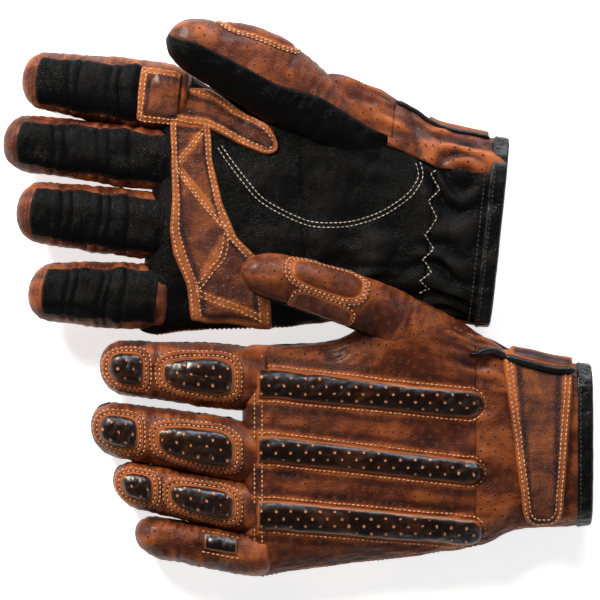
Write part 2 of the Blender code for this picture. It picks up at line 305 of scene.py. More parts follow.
@dataclass
class GloveFrame:
    """Axes and measures of one glove, taken from the CAD frame.

    Attributes:
        side: "right" or "left".
        along: unit vector from the cuff to the fingertips (u).
        thumbward: unit vector towards the thumb (v).
        backward: unit vector towards the back of the hand (w).
        origin: centre of the cuff's mouth.
    """

    side: str
    along: Array = field(init=False)
    thumbward: Array = field(init=False)
    backward: Array = field(init=False)
    origin: Array = field(init=False)
    knuckle: float = field(init=False)

    def __post_init__(self) -> None:
        """Find the glove's axes, origin and knuckle line from the CAD frame."""
        bend = self.joint("index_bend")
        axis = np.array(bend["axis"])
        back_up = axis[1] < 0.0
        self.backward = UP if back_up else -UP
        self.thumbward = -axis if back_up else axis
        self.along = np.cross(-self.backward, axis)
        self.origin = np.zeros(3)
        cuff = self.measure("cuff_back")
        mouth = cuff[cuff[:, 0] < cuff[:, 0].min() + MM]
        middle = 0.5 * (mouth[:, 1].max() + mouth[:, 1].min())
        level = float(np.array(bend["pos_m"]) @ self.backward)
        start = float(cuff[:, 0].min()) - 0.8 * MM
        self.origin = start * self.along + middle * self.thumbward + level * self.backward
        self.knuckle = float(self.inside(np.array(bend["pos_m"]))[0])

    def joint(self, name: str) -> dict:
        """The record's joint of this glove."""
        return next(j for j in frame["joints"] if j["name"] == f"{self.side}_{name}")

    def inside(self, points: Array) -> Array:
        """Glove coordinates u, v, w of world points."""
        axes = np.stack([self.along, self.thumbward, self.backward], axis=-1)
        return (points - self.origin) @ axes

    def world(self, u: Array, v: Array, w: Array) -> Array:
        """World points of glove coordinates.

        Args:
            u: distances along the glove.
            v: distances towards the thumb.
            w: heights towards the back.

        Returns:
            Positions, (..., 3).
        """
        u, v, w = np.broadcast_arrays(u, v, w)
        return (self.origin + u[..., None] * self.along + v[..., None] * self.thumbward
                + w[..., None] * self.backward)

    def measure(self, node: str) -> Array:
        """A CAD node's points in glove coordinates.

        Args:
            node: the node's name without its side.

        Returns:
            Coordinates u, v, w, (n, 3).
        """
        mesh = frame["nodes"][f"{self.side}_{node}"].data
        points = np.empty(3 * len(mesh.vertices))
        mesh.vertices.foreach_get("co", points)
        return self.inside(points.reshape(-1, 3))

    def name(self, piece: str) -> str:
        """A piece or node name of this glove."""
        return f"{self.side}_{piece}"


@dataclass
class HandSurface(Surface):
    """The hand and cuff: a rounded section carried along u, closed round the knuckle line.

    The parameters are u in metres and the angle round the section, 0 at the thumb side and a
    quarter turn at the back. The section is a superellipse whose half widths come from the CAD
    panels, pressed flatter over the back and the palm.
    """

    axes: GloveFrame
    relief: Callable[[Array, Array, "HandSurface"], Array]
    back_depth: float = 13.2 * MM
    palm_depth: float = 11.2 * MM
    roundness: float = 2.25
    flatten: float = 1.10
    end: float = 9.0 * MM
    saddle: float = 88.0 * MM
    saddle_spread: float = 26.0 * MM
    rows: Array = field(init=False)
    rise: float = field(init=False)

    def __post_init__(self) -> None:
        """Measure the CAD panels every 8 mm and smooth their half widths."""
        measured = np.concatenate([self.axes.measure("cuff_back"), self.axes.measure("hand_back")])
        stations = np.arange(0.0, self.axes.knuckle, 8.0 * MM)
        rows = []
        for station in stations:
            near = measured[np.abs(measured[:, 0] - station) < 9.0 * MM]
            rows.append((station, near[:, 1].max(), -near[:, 1].min()))
        table = np.array(rows)
        fine = np.arange(-10.0, 200.0, 1.0) * MM
        kernel = np.exp(-0.5 * (np.arange(-15, 16) / 5.0) ** 2)
        kernel /= kernel.sum()
        columns = [fine]
        for column in (1, 2):
            values = np.interp(fine, table[:, 0], table[:, column])
            padded = np.pad(values, 15, mode="edge")
            columns.append(np.convolve(padded, kernel, mode="valid"))
        self.rows = np.stack(columns, axis=1)
        rise = self.axes.measure("hand_back")
        crest = rise[rise[:, 1] > 0.92 * rise[:, 1].max()]
        self.rise = float(crest[:, 2].mean())

    def half_widths(self, u: Array) -> tuple[Array, Array]:
        """Half width towards the thumb and towards the little finger at u.

        Args:
            u: distance from the mouth of the cuff.

        Returns:
            The two half widths.
        """
        thumb = np.interp(u, self.rows[:, 0], self.rows[:, 1])
        little = np.interp(u, self.rows[:, 0], self.rows[:, 2])
        little = little + 1.6 * MM * smoothstep(60.0 * MM, 100.0 * MM, u)
        if self.axes.side == "left":
            thumb = thumb - 3.0 * MM * bump(u, 63.0 * MM, 16.0 * MM)
        return thumb, little

    def section(self, u: Array, angle: Array, grow: Array) -> tuple[Array, Array]:
        """Coordinates v and w of the section at u, grown outwards.

        Args:
            u: distance from the mouth of the cuff.
            angle: angle round the section.
            grow: distance outwards.

        Returns:
            Coordinates v and w.
        """
        thumb, little = self.half_widths(u)
        cosine, sine = np.cos(angle), np.sin(angle)
        half = np.where(cosine > 0.0, thumb, little)
        cuff = smoothstep(70.0 * MM, 30.0 * MM, u)
        depth = np.where(sine > 0.0, self.back_depth - 1.2 * MM * cuff,
                         self.palm_depth + 0.9 * MM * cuff)
        over = np.clip((u - (self.axes.knuckle - 5.0 * MM)) / self.end, 0.0, 1.0)
        close = np.sqrt(np.maximum(1.0 - over ** 2, 1e-6))
        power = 2.0 / self.roundness
        v = (half * (0.94 + 0.06 * close) + grow) * np.sign(cosine) * np.abs(cosine) ** power
        w = self.flatten * np.abs(sine) ** power
        w = w / (1.0 + w ** 10) ** 0.1 * 1.04
        w = np.sign(sine) * w * (depth * close + grow)
        lift = self.rise * bump(u, self.saddle, self.saddle_spread)
        w = w + lift * (np.maximum(v, 0.0) / thumb) ** 2
        return v, w

    def at(self, first: Array, second: Array) -> Array:
        """World position at u and the section angle.

        Args:
            first: u, in metres.
            second: angle round the section.

        Returns:
            Positions, (..., 3).
        """
        first, second = np.broadcast_arrays(first, second)
        grow = self.relief(first, second, self)
        v, w = self.section(first, second, grow)
        return self.axes.world(first, v, w)

    def core(self, first: Array, second: Array) -> Array:
        """Point on the hand's middle line, pulled towards the section's own side."""
        v, w = self.section(first, second, np.zeros(np.broadcast(first, second).shape))
        return self.axes.world(first, 0.8 * v, 0.0 * w + 0.15 * w)

    def angle(self, u: Array, v: Array, face: int) -> Array:
        """Section angle above plan position u, v on the back (face 1) or the palm (face -1).

        Args:
            u: distance from the mouth of the cuff.
            v: distance towards the thumb.
            face: 1 for the back, -1 for the palm.

        Returns:
            Angle round the section.
        """
        thumb, little = self.half_widths(u)
        part = np.clip(np.abs(v) / np.where(v > 0.0, thumb, little), 0.0, 0.999)
        cosine = np.sign(v) * part ** (self.roundness / 2.0)
        turn = np.arccos(cosine)
        return turn if face > 0 else TURN - turn


FINGER_FILL = {"index": (2.3, 2.0), "middle": (2.0, 1.1), "ring": (1.1, 1.3), "little": (1.0, 1.8)}


@dataclass
class FingerSurface(Surface):
    """One finger: a rounded section carried from inside the hand to a rounded tip.

    The parameters are s, the distance from the knuckle line, and the angle round the section, a
    quarter turn at the back. Width, slope and curl come from the CAD panels.
    """

    axes: GloveFrame
    finger: str
    relief: Callable[[Array, Array, "FingerSurface"], Array]
    start: float = -11.0 * MM
    back_depth: float = 11.6 * MM
    palm_depth: float = 10.6 * MM
    tip: float = 15.0 * MM

    def __post_init__(self) -> None:
        """Measure the finger's CAD panels."""
        points = self.axes.measure(f"{self.finger}_back")
        s = points[:, 0] - self.axes.knuckle
        base = points[s < 2.0 * MM]
        self.length = float(s.max()) + 1.2 * MM
        straight = self.length - self.tip
        end = points[np.abs(s - (straight + MM)) < 3.0 * MM]
        last = points[s > s.max() - MM]
        self.root = 0.5 * float(base[:, 1].max() + base[:, 1].min())
        self.width_root = 0.5 * float(base[:, 1].max() - base[:, 1].min())
        self.width_tip = 0.5 * float(end[:, 1].max() - end[:, 1].min())
        tip_middle = 0.5 * float(last[:, 1].max() + last[:, 1].min())
        self.slope = (tip_middle - self.root) / self.length
        self.curl = float(last[:, 2].mean()) - 0.2 * MM

    def section(self, s: Array) -> tuple[Array, Array, Array, Array]:
        """Half width, closing factor, middle v and middle w at s.

        Args:
            s: distance from the knuckle line.

        Returns:
            The four arrays.
        """
        over = np.clip((s - (self.length - self.tip)) / self.tip, 0.0, 1.0)
        close = np.sqrt(np.maximum(1.0 - over ** 2.7, 0.0))
        under = np.clip((self.start + 3.0 * MM - s) / (3.0 * MM), 0.0, 1.0)
        close = close * np.sqrt(np.maximum(1.0 - under ** 2, 0.0))
        part = np.clip(s / self.length, -0.2, 1.0)
        half = self.width_root + (self.width_tip - self.width_root) * part
        half = half * (1.0 - 0.10 * smoothstep(0.0, -8.0 * MM, s))
        middle = self.root + self.slope * np.maximum(s, -4.0 * MM)
        droop = self.curl * np.clip(part, 0.0, 1.0) ** 2
        return half, close, middle, droop

    def at(self, first: Array, second: Array) -> Array:
        """World position at s and the section angle.

        Args:
            first: s, in metres.
            second: angle round the section.

        Returns:
            Positions, (..., 3).
        """
        first, second = np.broadcast_arrays(first, second)
        half, close, middle, droop = self.section(first)
        cosine, sine = np.cos(second), np.sin(second)
        thumb_side, little_side = FINGER_FILL[self.finger]
        fill = np.maximum(cosine, 0.0) * thumb_side + np.maximum(-cosine, 0.0) * little_side
        fill = fill * MM * bump(first, 0.22 * self.length, 0.42 * self.length)
        grow = (self.relief(first, second, self) + fill) * np.minimum(close * 1.6, 1.0)
        depth = np.where(sine > 0.0, self.back_depth, self.palm_depth)
        depth = depth + 1.1 * MM * bump(first, -1.0 * MM, 9.0 * MM)
        v = middle + (half * close + grow) * np.sign(cosine) * np.abs(cosine) ** 0.92
        w = droop + (depth * close + grow) * np.sign(sine) * np.abs(sine) ** 0.92
        return self.axes.world(self.axes.knuckle + first, v, w)

    def core(self, first: Array, second: Array) -> Array:
        """Point on the finger's middle line, a little behind the given one near the tip.

        Args:
            first: s, in metres.
            second: angle round the section.

        Returns:
            Positions, (..., 3).
        """
        back = np.minimum(first, self.length - 0.8 * self.tip)
        back = np.maximum(back, self.start + 3.0 * MM)
        _, _, middle, droop = self.section(back)
        shape = np.broadcast(first, second).shape
        zero = np.zeros(shape)
        return self.axes.world(self.axes.knuckle + back + zero, middle + zero, droop + zero)

    @property
    def steps(self) -> tuple[float, float]:
        """Difference steps of the two parameters."""
        return 0.0005, 0.03


THUMB_SWELL = {"right": 5.5 * MM, "left": 0.6 * MM}


@dataclass
class ThumbSurface(Surface):
    """The thumb: a rounded section carried along a bent line from the hand to a rounded tip.

    The middle line is a quadratic curve from inside the ball of the thumb, through the joint, to
    the tip. The parameters are the part of the line, 0 to 1, and the angle round the section,
    where a quarter turn faces out of the thumb's back.
    """

    axes: GloveFrame
    relief: Callable[[Array, Array, "ThumbSurface"], Array]
    inside_u: float = 56.0 * MM
    inside_v: float = 0.56
    wide_start: float = 15.5 * MM
    deep: float = 11.0 * MM
    tip: float = 0.145

    def __post_init__(self) -> None:
        """Measure the thumb's CAD panels and lay its middle line through the joint."""
        axes = self.axes
        self.pivot = axes.inside(np.array(axes.joint("thumb_swing")["pos_m"]))
        points = np.concatenate([axes.measure("thumb_back"), axes.measure("thumb_front")])
        reach = (points - self.pivot) @ unit(points.mean(axis=0) - self.pivot)
        far = points[reach > reach.max() - 1.5 * MM].mean(axis=0)
        self.direction = unit(far - self.pivot)
        self.end = far + 1.4 * MM * self.direction
        sideways = unit(np.array([-self.direction[1], self.direction[0], 0.0]))
        base = points[reach < 3.0 * MM] - self.pivot
        self.wide_root = float(np.abs(base @ sideways).max())
        near = points[np.abs(reach - (reach.max() - 15.0 * MM)) < 4.0 * MM]
        middle = self.pivot + self.direction * (reach.max() - 15.0 * MM)
        self.wide_tip = float(np.abs((near - middle) @ sideways).max())
        pad = axes.measure("thumb_pad").mean(axis=0) - self.pivot
        out = np.cross(self.direction, sideways)
        self.roll = math.atan2(float(pad @ out), float(pad @ sideways))
        self.first = np.array([self.inside_u, 0.0, 0.0])
        self.first[1] = self.inside_v * self.pivot[1]
        self.control = 2.0 * self.pivot - 0.5 * (self.first + self.end)
        self.control[2] = 0.6 * self.pivot[2]

    def middle(self, part: Array) -> tuple[Array, Array]:
        """Middle line and its unit direction, in glove coordinates.

        Args:
            part: part of the line.

        Returns:
            Points and directions, (..., 3).
        """
        t = np.asarray(part)[..., None]
        point = (1 - t) ** 2 * self.first + 2 * t * (1 - t) * self.control + t ** 2 * self.end
        along = unit(2 * (1 - t) * (self.control - self.first) + 2 * t * (self.end - self.control))
        return point, along

    def at(self, first: Array, second: Array) -> Array:
        """World position at a part of the line and the section angle.

        Args:
            first: part of the middle line.
            second: angle round the section.

        Returns:
            Positions, (..., 3).
        """
        first, second = np.broadcast_arrays(first, second)
        point, along = self.middle(np.clip(first, 0.0, 1.0))
        sideways = unit(np.stack([-along[..., 1], along[..., 0], 0.0 * along[..., 0]], axis=-1))
        out = np.cross(along, sideways)
        over = np.clip((first - (1.0 - self.tip)) / self.tip, 0.0, 1.0)
        close = np.sqrt(np.maximum(1.0 - over ** 2.3, 0.0))
        close = close * np.sqrt(np.clip(1.0 - np.clip(1.0 - first / 0.05, 0.0, 1.0) ** 2, 0.0, 1.0))
        knots = [0.0, 0.3, 0.5, 0.72, 1.0]
        widths = [self.wide_start, 0.5 * (self.wide_start + self.wide_root), self.wide_root,
                  0.62 * self.wide_root + 0.38 * self.wide_tip, self.wide_tip]
        half = np.interp(first, knots, widths)
        grow = self.relief(first, second, self) * smoothstep(0.05, 0.85, close)
        angle = second + self.roll - math.pi / 2.0
        depth = self.deep * (0.72 + 0.28 * smoothstep(0.0, 0.32, first))
        swell = THUMB_SWELL[self.axes.side] * bump(first, 0.60, 0.22) * close
        flat = half * close * np.cos(angle) + grow * np.cos(angle)
        flat = flat + swell * np.maximum(np.cos(angle), 0.0)
        rise = depth * close * np.sin(angle) + grow * np.sin(angle)
        found = point + flat[..., None] * sideways + rise[..., None] * out
        return self.axes.world(found[..., 0], found[..., 1], found[..., 2])

    def core(self, first: Array, second: Array) -> Array:
        """Point on the middle line, a little behind the given one near the tip.

        Args:
            first: part of the middle line.
            second: angle round the section.

        Returns:
            Positions, (..., 3).
        """
        part = np.clip(first, 0.06, 1.0 - 0.8 * self.tip)
        point, _ = self.middle(part)
        zero = np.zeros(np.broadcast(first, second).shape)
        return self.axes.world(point[..., 0] + zero, point[..., 1] + zero, point[..., 2] + zero)

    @property
    def steps(self) -> tuple[float, float]:
        """Difference steps of the two parameters."""
        return 0.004, 0.03


# ---- finishes
def linear(code: str) -> tuple[float, float, float, float]:
    """Turn an sRGB hex colour into a linear one.

    Args:
        code: six hex digits.

    Returns:
        Linear red, green and blue, and an alpha of 1.
    """
    parts = [int(code[i:i + 2], 16) / 255.0 for i in (0, 2, 4)]
    values = [p / 12.92 if p <= 0.04045 else ((p + 0.055) / 1.055) ** 2.4 for p in parts]
    return values[0], values[1], values[2], 1.0


def add(tree: Tree, kind: str, inputs: Optional[dict] = None, output: int | str = 0,
        stops: Sequence[tuple[float, str]] = (), **settings: object) -> Socket:
    """Add a node, set its properties, set or link its inputs, and give one of its outputs.

    Args:
        tree: node tree.
        kind: node type name without its "ShaderNode" prefix.
        inputs: input name or index to a value or an output socket.
        output: name or index of the output to give.
        stops: places and hex colours, on a colour ramp.
        settings: properties of the node.

    Returns:
        The output socket.
    """
    node = tree.nodes.new("ShaderNode" + kind)
    for key, value in settings.items():
        setattr(node, key, value)
    for key, value in (inputs or {}).items():
        if isinstance(value, Socket):
            tree.links.new(value, node.inputs[key])
        else:
            node.inputs[key].default_value = value
    if stops:
        elements = node.color_ramp.elements
        while len(elements) < len(stops):
            elements.new(0.5)
        for element, (place, code) in zip(elements, stops):
            element.position = place
            element.color = linear(code)
    return node.outputs[output]


class Perforation(Enum):
    """How a leather is punched: not at all, or with holes that show dark or light; the dark ones are
    painted shade down in each hole.
    """

    NONE = "none"
    DARK = "dark"
    LIGHT = "light"


@dataclass(frozen=True)
class Finish:
    """A finish of the gloves' pieces, which makes its node material once."""

    name: str

    def dress(self, tree: Tree, shader: bpy.types.ShaderNode) -> None:
        """Add the finish's nodes and set its shader."""
        raise NotImplementedError

    def build(self) -> Material:
        """Make the material, or find the one that is already made.

        Returns:
            The node material.
        """
        made = bpy.data.materials.get(self.name)
        if made is None:
            made = bpy.data.materials.new(self.name)
            made.use_nodes = True
            self.dress(made.node_tree, made.node_tree.nodes["Principled BSDF"])
        return made


@dataclass(frozen=True)
class Leather(Finish):
    """Tanned hide with a grain, colour that moves over the hide, and burnished folds and edges.

    Pull-up leather is stuffed with oil and wax: it lightens to orange where it is bent or rubbed,
    and its wax gives a soft broken gloss. Hollows of the relief are darkened with painted shade.
    The grain cells are about 0.9 mm, drawn a little coarser than real calf so that they show.

    Attributes:
        dark, middle, light: colours of hollows, of the flat hide and of rubbed folds.
        roughness: roughness of the flat hide.
        dark, middle, light: colours of dark patches and of the painted shade in hollows, of the flat
            hide, and of rubbed folds.
        grain: depth of the grain, in metres.
        perforation: whether and how the hide is punched.
        patches: size of the colour's drift, in metres.
        hole_pitch, hole_radius: spacing and radius of the holes, in metres.
        drift: how far the colour drifts from place to place.
        shine: strength of the surface reflection under the wax.
    """

    dark: str
    middle: str
    light: str
    roughness: float = 0.38
    coat: float = 0.14
    grain: float = 0.00022
    perforation: Perforation = Perforation.NONE
    patches: float = 0.015
    hole_pitch: float = 0.0051
    hole_radius: float = 0.00062
    drift: float = 0.9
    shine: float = 0.26

    def holes(self, tree: Tree) -> list[Socket]:
        """Holes on a square grid turned by 45 degrees over the flat map.

        Args:
            tree: node tree.

        Returns:
            Masks of the turned-up rim round the holes, and of the holes.
        """
        flat = add(tree, "UVMap", uv_map="flat")
        turned = add(tree, "Mapping", {"Vector": flat, "Rotation": (0.0, 0.0, math.radians(45.0)),
                                       "Scale": (1.0 / self.hole_pitch,) * 3})
        cells = add(tree, "TexVoronoi", {"Vector": turned, "Scale": 1.0, "Randomness": 0.0},
                    voronoi_dimensions="2D")
        radius = self.hole_radius / self.hole_pitch
        wanted = add(tree, "Attribute", output="Fac", attribute_name="holes")
        masks = []
        for outer, inner in ((1.8, 1.2), (1.15, 0.70)):
            mask = add(tree, "MapRange", {"Value": cells, "From Min": radius * outer,
                                          "From Max": radius * inner})
            masks.append(add(tree, "Math", {0: mask, 1: wanted}, operation="MULTIPLY"))
        return masks

    def dress(self, tree: Tree, shader: bpy.types.ShaderNode) -> None:
        """Colour from drift, streaks, wear and painted shade in the hollows; relief from grain cells,
        specks and holes.

        Args:
            tree: node tree.
            shader: the surface shader.
        """
        place = add(tree, "TexCoord", output="Object")
        drift = add(tree, "TexNoise", {"Vector": place, "Scale": 1.0 / self.patches, "Detail": 5.0,
                                       "Roughness": 0.62, "Distortion": 0.6})
        stretched = add(tree, "Mapping", {"Vector": place, "Scale": (60.0, 420.0, 200.0)})
        streak = add(tree, "TexNoise", {"Vector": stretched, "Scale": 1.0, "Detail": 3.0})
        speck = add(tree, "TexNoise", {"Vector": place, "Scale": 1400.0, "Detail": 2.0})
        cells = add(tree, "TexVoronoi", {"Vector": place, "Scale": 1100.0}, feature="DISTANCE_TO_EDGE")
        # The mark read beside worn is painted shade: it darkens the colour in hollows, grooves and
        # channels.
        worn, hollow = (add(tree, "Attribute", output="Fac", attribute_name=mark)
                        for mark in ("worn", "hollow"))
        tone = add(tree, "Math", {0: drift, 1: self.drift, 2: 0.40 - 0.5 * self.drift},
                   operation="MULTIPLY_ADD")
        for source, share in ((streak, 0.20 * self.drift), (worn, 0.46), (hollow, -0.48)):
            tone = add(tree, "Math", {0: source, 1: share, 2: tone}, operation="MULTIPLY_ADD")
        colour = add(tree, "ValToRGB", {"Fac": tone},
                     stops=((0.12, self.dark), (0.44, self.middle), (0.88, self.light)))
        shaded = add(tree, "Math", {0: speck, 1: 0.55, 2: -0.55 * 0.42}, operation="MULTIPLY_ADD",
                     use_clamp=True)
        colour = add(tree, "Mix", {0: shaded, 6: colour, 7: linear(self.dark)}, 2, data_type="RGBA")
        cut = add(tree, "Math", {0: cells, 1: 0.22}, operation="MINIMUM")
        height = add(tree, "Math", {0: speck, 1: 0.45}, operation="MULTIPLY")
        height = add(tree, "Math", {0: cut, 1: 3.2, 2: height}, operation="MULTIPLY_ADD")
        rough = add(tree, "Math", {0: speck, 1: 0.30, 2: self.roughness - 0.15},
                    operation="MULTIPLY_ADD")
        if self.perforation is not Perforation.NONE:
            rim, inside = self.holes(tree)
            # The dark hole colour is painted shade down in each hole; the light one is the hole's own
            # pale colour.
            hole = "cf9068" if self.perforation is Perforation.LIGHT else "260e06"
            for mask, share, tint, rise in ((rim, 0.34, self.light, 0.8), (inside, 0.85, hole, -3.4)):
                part = add(tree, "Math", {0: mask, 1: share}, operation="MULTIPLY")
                colour = add(tree, "Mix", {0: part, 6: colour, 7: linear(tint)}, 2, data_type="RGBA")
                height = add(tree, "Math", {0: mask, 1: rise, 2: height}, operation="MULTIPLY_ADD")
            rough = add(tree, "Math", {0: inside, 1: 0.4, 2: rough}, operation="MULTIPLY_ADD",
                        use_clamp=True)
        relief = add(tree, "Bump", {"Height": height, "Distance": self.grain, "Strength": 1.0})
        for key, socket in (("Base Color", colour), ("Roughness", rough), ("Normal", relief)):
            tree.links.new(socket, shader.inputs[key])
        for key, value in (("IOR", 1.45), ("Specular IOR Level", self.shine),
                           ("Coat Weight", self.coat), ("Coat Roughness", 0.2)):
            shader.inputs[key].default_value = value


@dataclass(frozen=True)
class Thread(Finish):
    """Bonded nylon sewing thread: two twisted plies with a faint sheen along each stitch.

    Attributes:
        light, dark: colours of the plies and of their shade.
        size: radius of the thread, in metres.
    """

    light: str
    dark: str
    size: float = 0.00038

    def dress(self, tree: Tree, shader: bpy.types.ShaderNode) -> None:
        """Colour that changes from stitch to stitch, over the relief of the twist.

        Args:
            tree: node tree.
            shader: the surface shader.
        """
        place = add(tree, "TexCoord", output="Object")
        change = add(tree, "TexNoise", {"Vector": place, "Scale": 420.0, "Detail": 2.0})
        twist = add(tree, "TexWave", {"Vector": place, "Scale": 900.0, "Distortion": 1.5}, "Fac")
        colour = add(tree, "ValToRGB", {"Fac": change}, stops=((0.30, self.dark), (0.62, self.light)))
        relief = add(tree, "Bump", {"Height": twist, "Distance": 0.0001, "Strength": 0.6})
        tree.links.new(colour, shader.inputs["Base Color"])
        tree.links.new(relief, shader.inputs["Normal"])
        shader.inputs["Roughness"].default_value = 0.5
        shader.inputs["Sheen Weight"].default_value = 0.2


@dataclass(frozen=True)
class Fabric(Finish):
    """Woven fastening tape: crossed yarns of a given pitch with a soft nap.

    Attributes:
        yarn, gap: colours of the yarns and between them.
        pitch: spacing of the yarns, in metres, drawn coarser than real so that it shows.
    """

    yarn: str
    gap: str
    pitch: float = 0.0011

    def dress(self, tree: Tree, shader: bpy.types.ShaderNode) -> None:
        """The product of two waves across each other, roughened by a fuzz.

        Args:
            tree: node tree.
            shader: the surface shader.
        """
        flat = add(tree, "UVMap", uv_map="flat")
        scale = 6.283 / (20.0 * self.pitch)
        warp, weft = (add(tree, "TexWave", {"Vector": flat, "Scale": scale}, "Fac", bands_direction=way)
                      for way in ("X", "Y"))
        fuzz = add(tree, "TexNoise", {"Vector": add(tree, "TexCoord", output="Object"), "Scale": 900.0})
        fuzz = add(tree, "Math", {0: fuzz, 1: 0.5}, operation="MULTIPLY")
        weave = add(tree, "Math", {0: warp, 1: weft, 2: fuzz}, operation="MULTIPLY_ADD")
        colour = add(tree, "ValToRGB", {"Fac": weave}, stops=((0.2, self.gap), (0.9, self.yarn)))
        relief = add(tree, "Bump", {"Height": weave, "Distance": 0.0003, "Strength": 0.8})
        tree.links.new(colour, shader.inputs["Base Color"])
        tree.links.new(relief, shader.inputs["Normal"])
        shader.inputs["Roughness"].default_value = 0.85
        shader.inputs["Sheen Weight"].default_value = 0.3


BROWN_HIDE = Leather("pull_up_hide", "1c0a05", "642b12", "b5622c")
PUNCHED_HIDE = Leather("punched_pull_up_hide", "1c0a05", "57250f", "b3602c", roughness=0.42,
                       coat=0.10, grain=0.00013, perforation=Perforation.DARK)
PAD_HIDE = Leather("padded_hide", "0d0704", "1c0d07", "a05c30", roughness=0.34, coat=0.42,
                   grain=0.00005, perforation=Perforation.LIGHT, hole_radius=0.00052, drift=0.34,
                   shine=0.40)
PALM_HIDE = Leather("palm_nappa", "030303", "070707", "1c1917", roughness=0.38, coat=0.0,
                    grain=0.00014, drift=0.4, shine=0.10)
BINDING_HIDE = Leather("rolled_binding", "030303", "080707", "242120", roughness=0.30, coat=0.2,
                       grain=0.0001)
BAR_HIDE = Leather("bar_hide", "0b0603", "180b06", "a05c30", roughness=0.34, coat=0.34,
                   grain=0.00006, perforation=Perforation.LIGHT, hole_radius=0.00058, drift=0.34,
                   shine=0.30)
SMOOTH_HIDE = Leather("smooth_pull_up_hide", "1a0c07", "54291a", "b8662f", roughness=0.33,
                      coat=0.22)
STRIPED_HIDE = Leather("creased_pull_up_hide", "1a0c07", "5a2c1a", "b8662f", roughness=0.36,
                       coat=0.2, patches=0.009)
BLACK_THREAD = Thread("black_thread", "2a2624", "0c0b0a", 0.0003)
BURNT_THREAD = Thread("burnt_thread", "8a4a24", "3a1a0c", 0.00026)
TAN_THREAD = Thread("tan_thread", "f0b27c", "a8632f")
CREAM_THREAD = Thread("cream_thread", "d8ccb6", "8f8069", 0.00028)
TAPE = Fabric("fastening_tape", "3a3a3c", "0a0a0a", pitch=0.0016)


# ---- flat layouts
@dataclass
class Plan:
    """Flat working coordinates on a surface: x along it and y across it, in metres.

    Attributes:
        surface: the surface under the work.
        params: function that turns x and y into the surface's two parameters.
    """

    surface: Surface
    params: Callable[[Array, Array], tuple[Array, Array]]

    def at(self, x: Array, y: Array, height: Array | float = 0.0) -> Array:
        """World position at a height above the surface."""
        first, second = self.params(*np.broadcast_arrays(x, y))
        return self.surface.lifted(first, second, np.asarray(height) + 0.0 * first)

    def normal(self, x: Array, y: Array) -> Array:
        """Outward direction."""
        return self.surface.normal(*self.params(*np.broadcast_arrays(x, y)))


def hand_plan(surface: HandSurface, face: int) -> Plan:
    """Layout over the back (1) or the palm (-1): x is u and y is v."""
    return Plan(surface, lambda x, y: (x, surface.angle(x, y, face)))


def finger_plan(surface: FingerSurface, face: int) -> Plan:
    """Layout over a finger's back or front: x is s, and y is an arc towards the thumb.

    Args:
        surface: the finger.
        face: 1 for its back, -1 for its front.

    Returns:
        The layout.
    """
    radius = 0.5 * (surface.width_root + surface.back_depth)
    middle = math.pi / 2.0 if face > 0 else 1.5 * math.pi
    return Plan(surface, lambda x, y: (x, middle - face * y / radius))


def thumb_plan(surface: ThumbSurface, turn: float = 0.0) -> Plan:
    """Layout over the thumb: x from the start of its middle line, y an arc round it.

    Args:
        surface: the thumb.
        turn: angle of the line y = 0 round the thumb, from its back.

    Returns:
        The layout.
    """
    line, _ = surface.middle(np.linspace(0.0, 1.0, 40))
    length = float(path_lengths(line)[-1])
    radius = 0.5 * (surface.wide_root + surface.deep)
    return Plan(surface, lambda x, y: (x / length, math.pi / 2.0 + turn - y / radius))


@dataclass(frozen=True)
class Outline:
    """Rounded shape of a pad: a superellipse whose width may taper along it.

    Attributes:
        x, y: centre, in metres.
        half_x, half_y: half length and half width.
        taper: how much narrower the far end is, as a part of the width.
        square: exponent of the superellipse.
    """

    x: float
    y: float
    half_x: float
    half_y: float
    taper: float = 0.0
    square: float = 3.2

    def points(self, part: Array, turn: Array, out: Array | float = 0.0) -> tuple[Array, Array]:
        """Plan position at a part of the way out from the centre, plus a distance beyond.

        Args:
            part: part of the way out from the centre.
            turn: angle round the centre.
            out: distance beyond that, in metres.

        Returns:
            Plan positions x and y.
        """
        power = 2.0 / self.square
        cosine, sine = np.cos(turn), np.sin(turn)
        round_x = np.sign(cosine) * np.abs(cosine) ** power
        round_y = np.sign(sine) * np.abs(sine) ** power
        x = round_x * (self.half_x * part + out)
        along = np.clip(x / self.half_x, -1.2, 1.2)
        y = round_y * (self.half_y * (1.0 - self.taper * 0.5 * (1.0 + along)) * part + out)
        return self.x + x, self.y + y


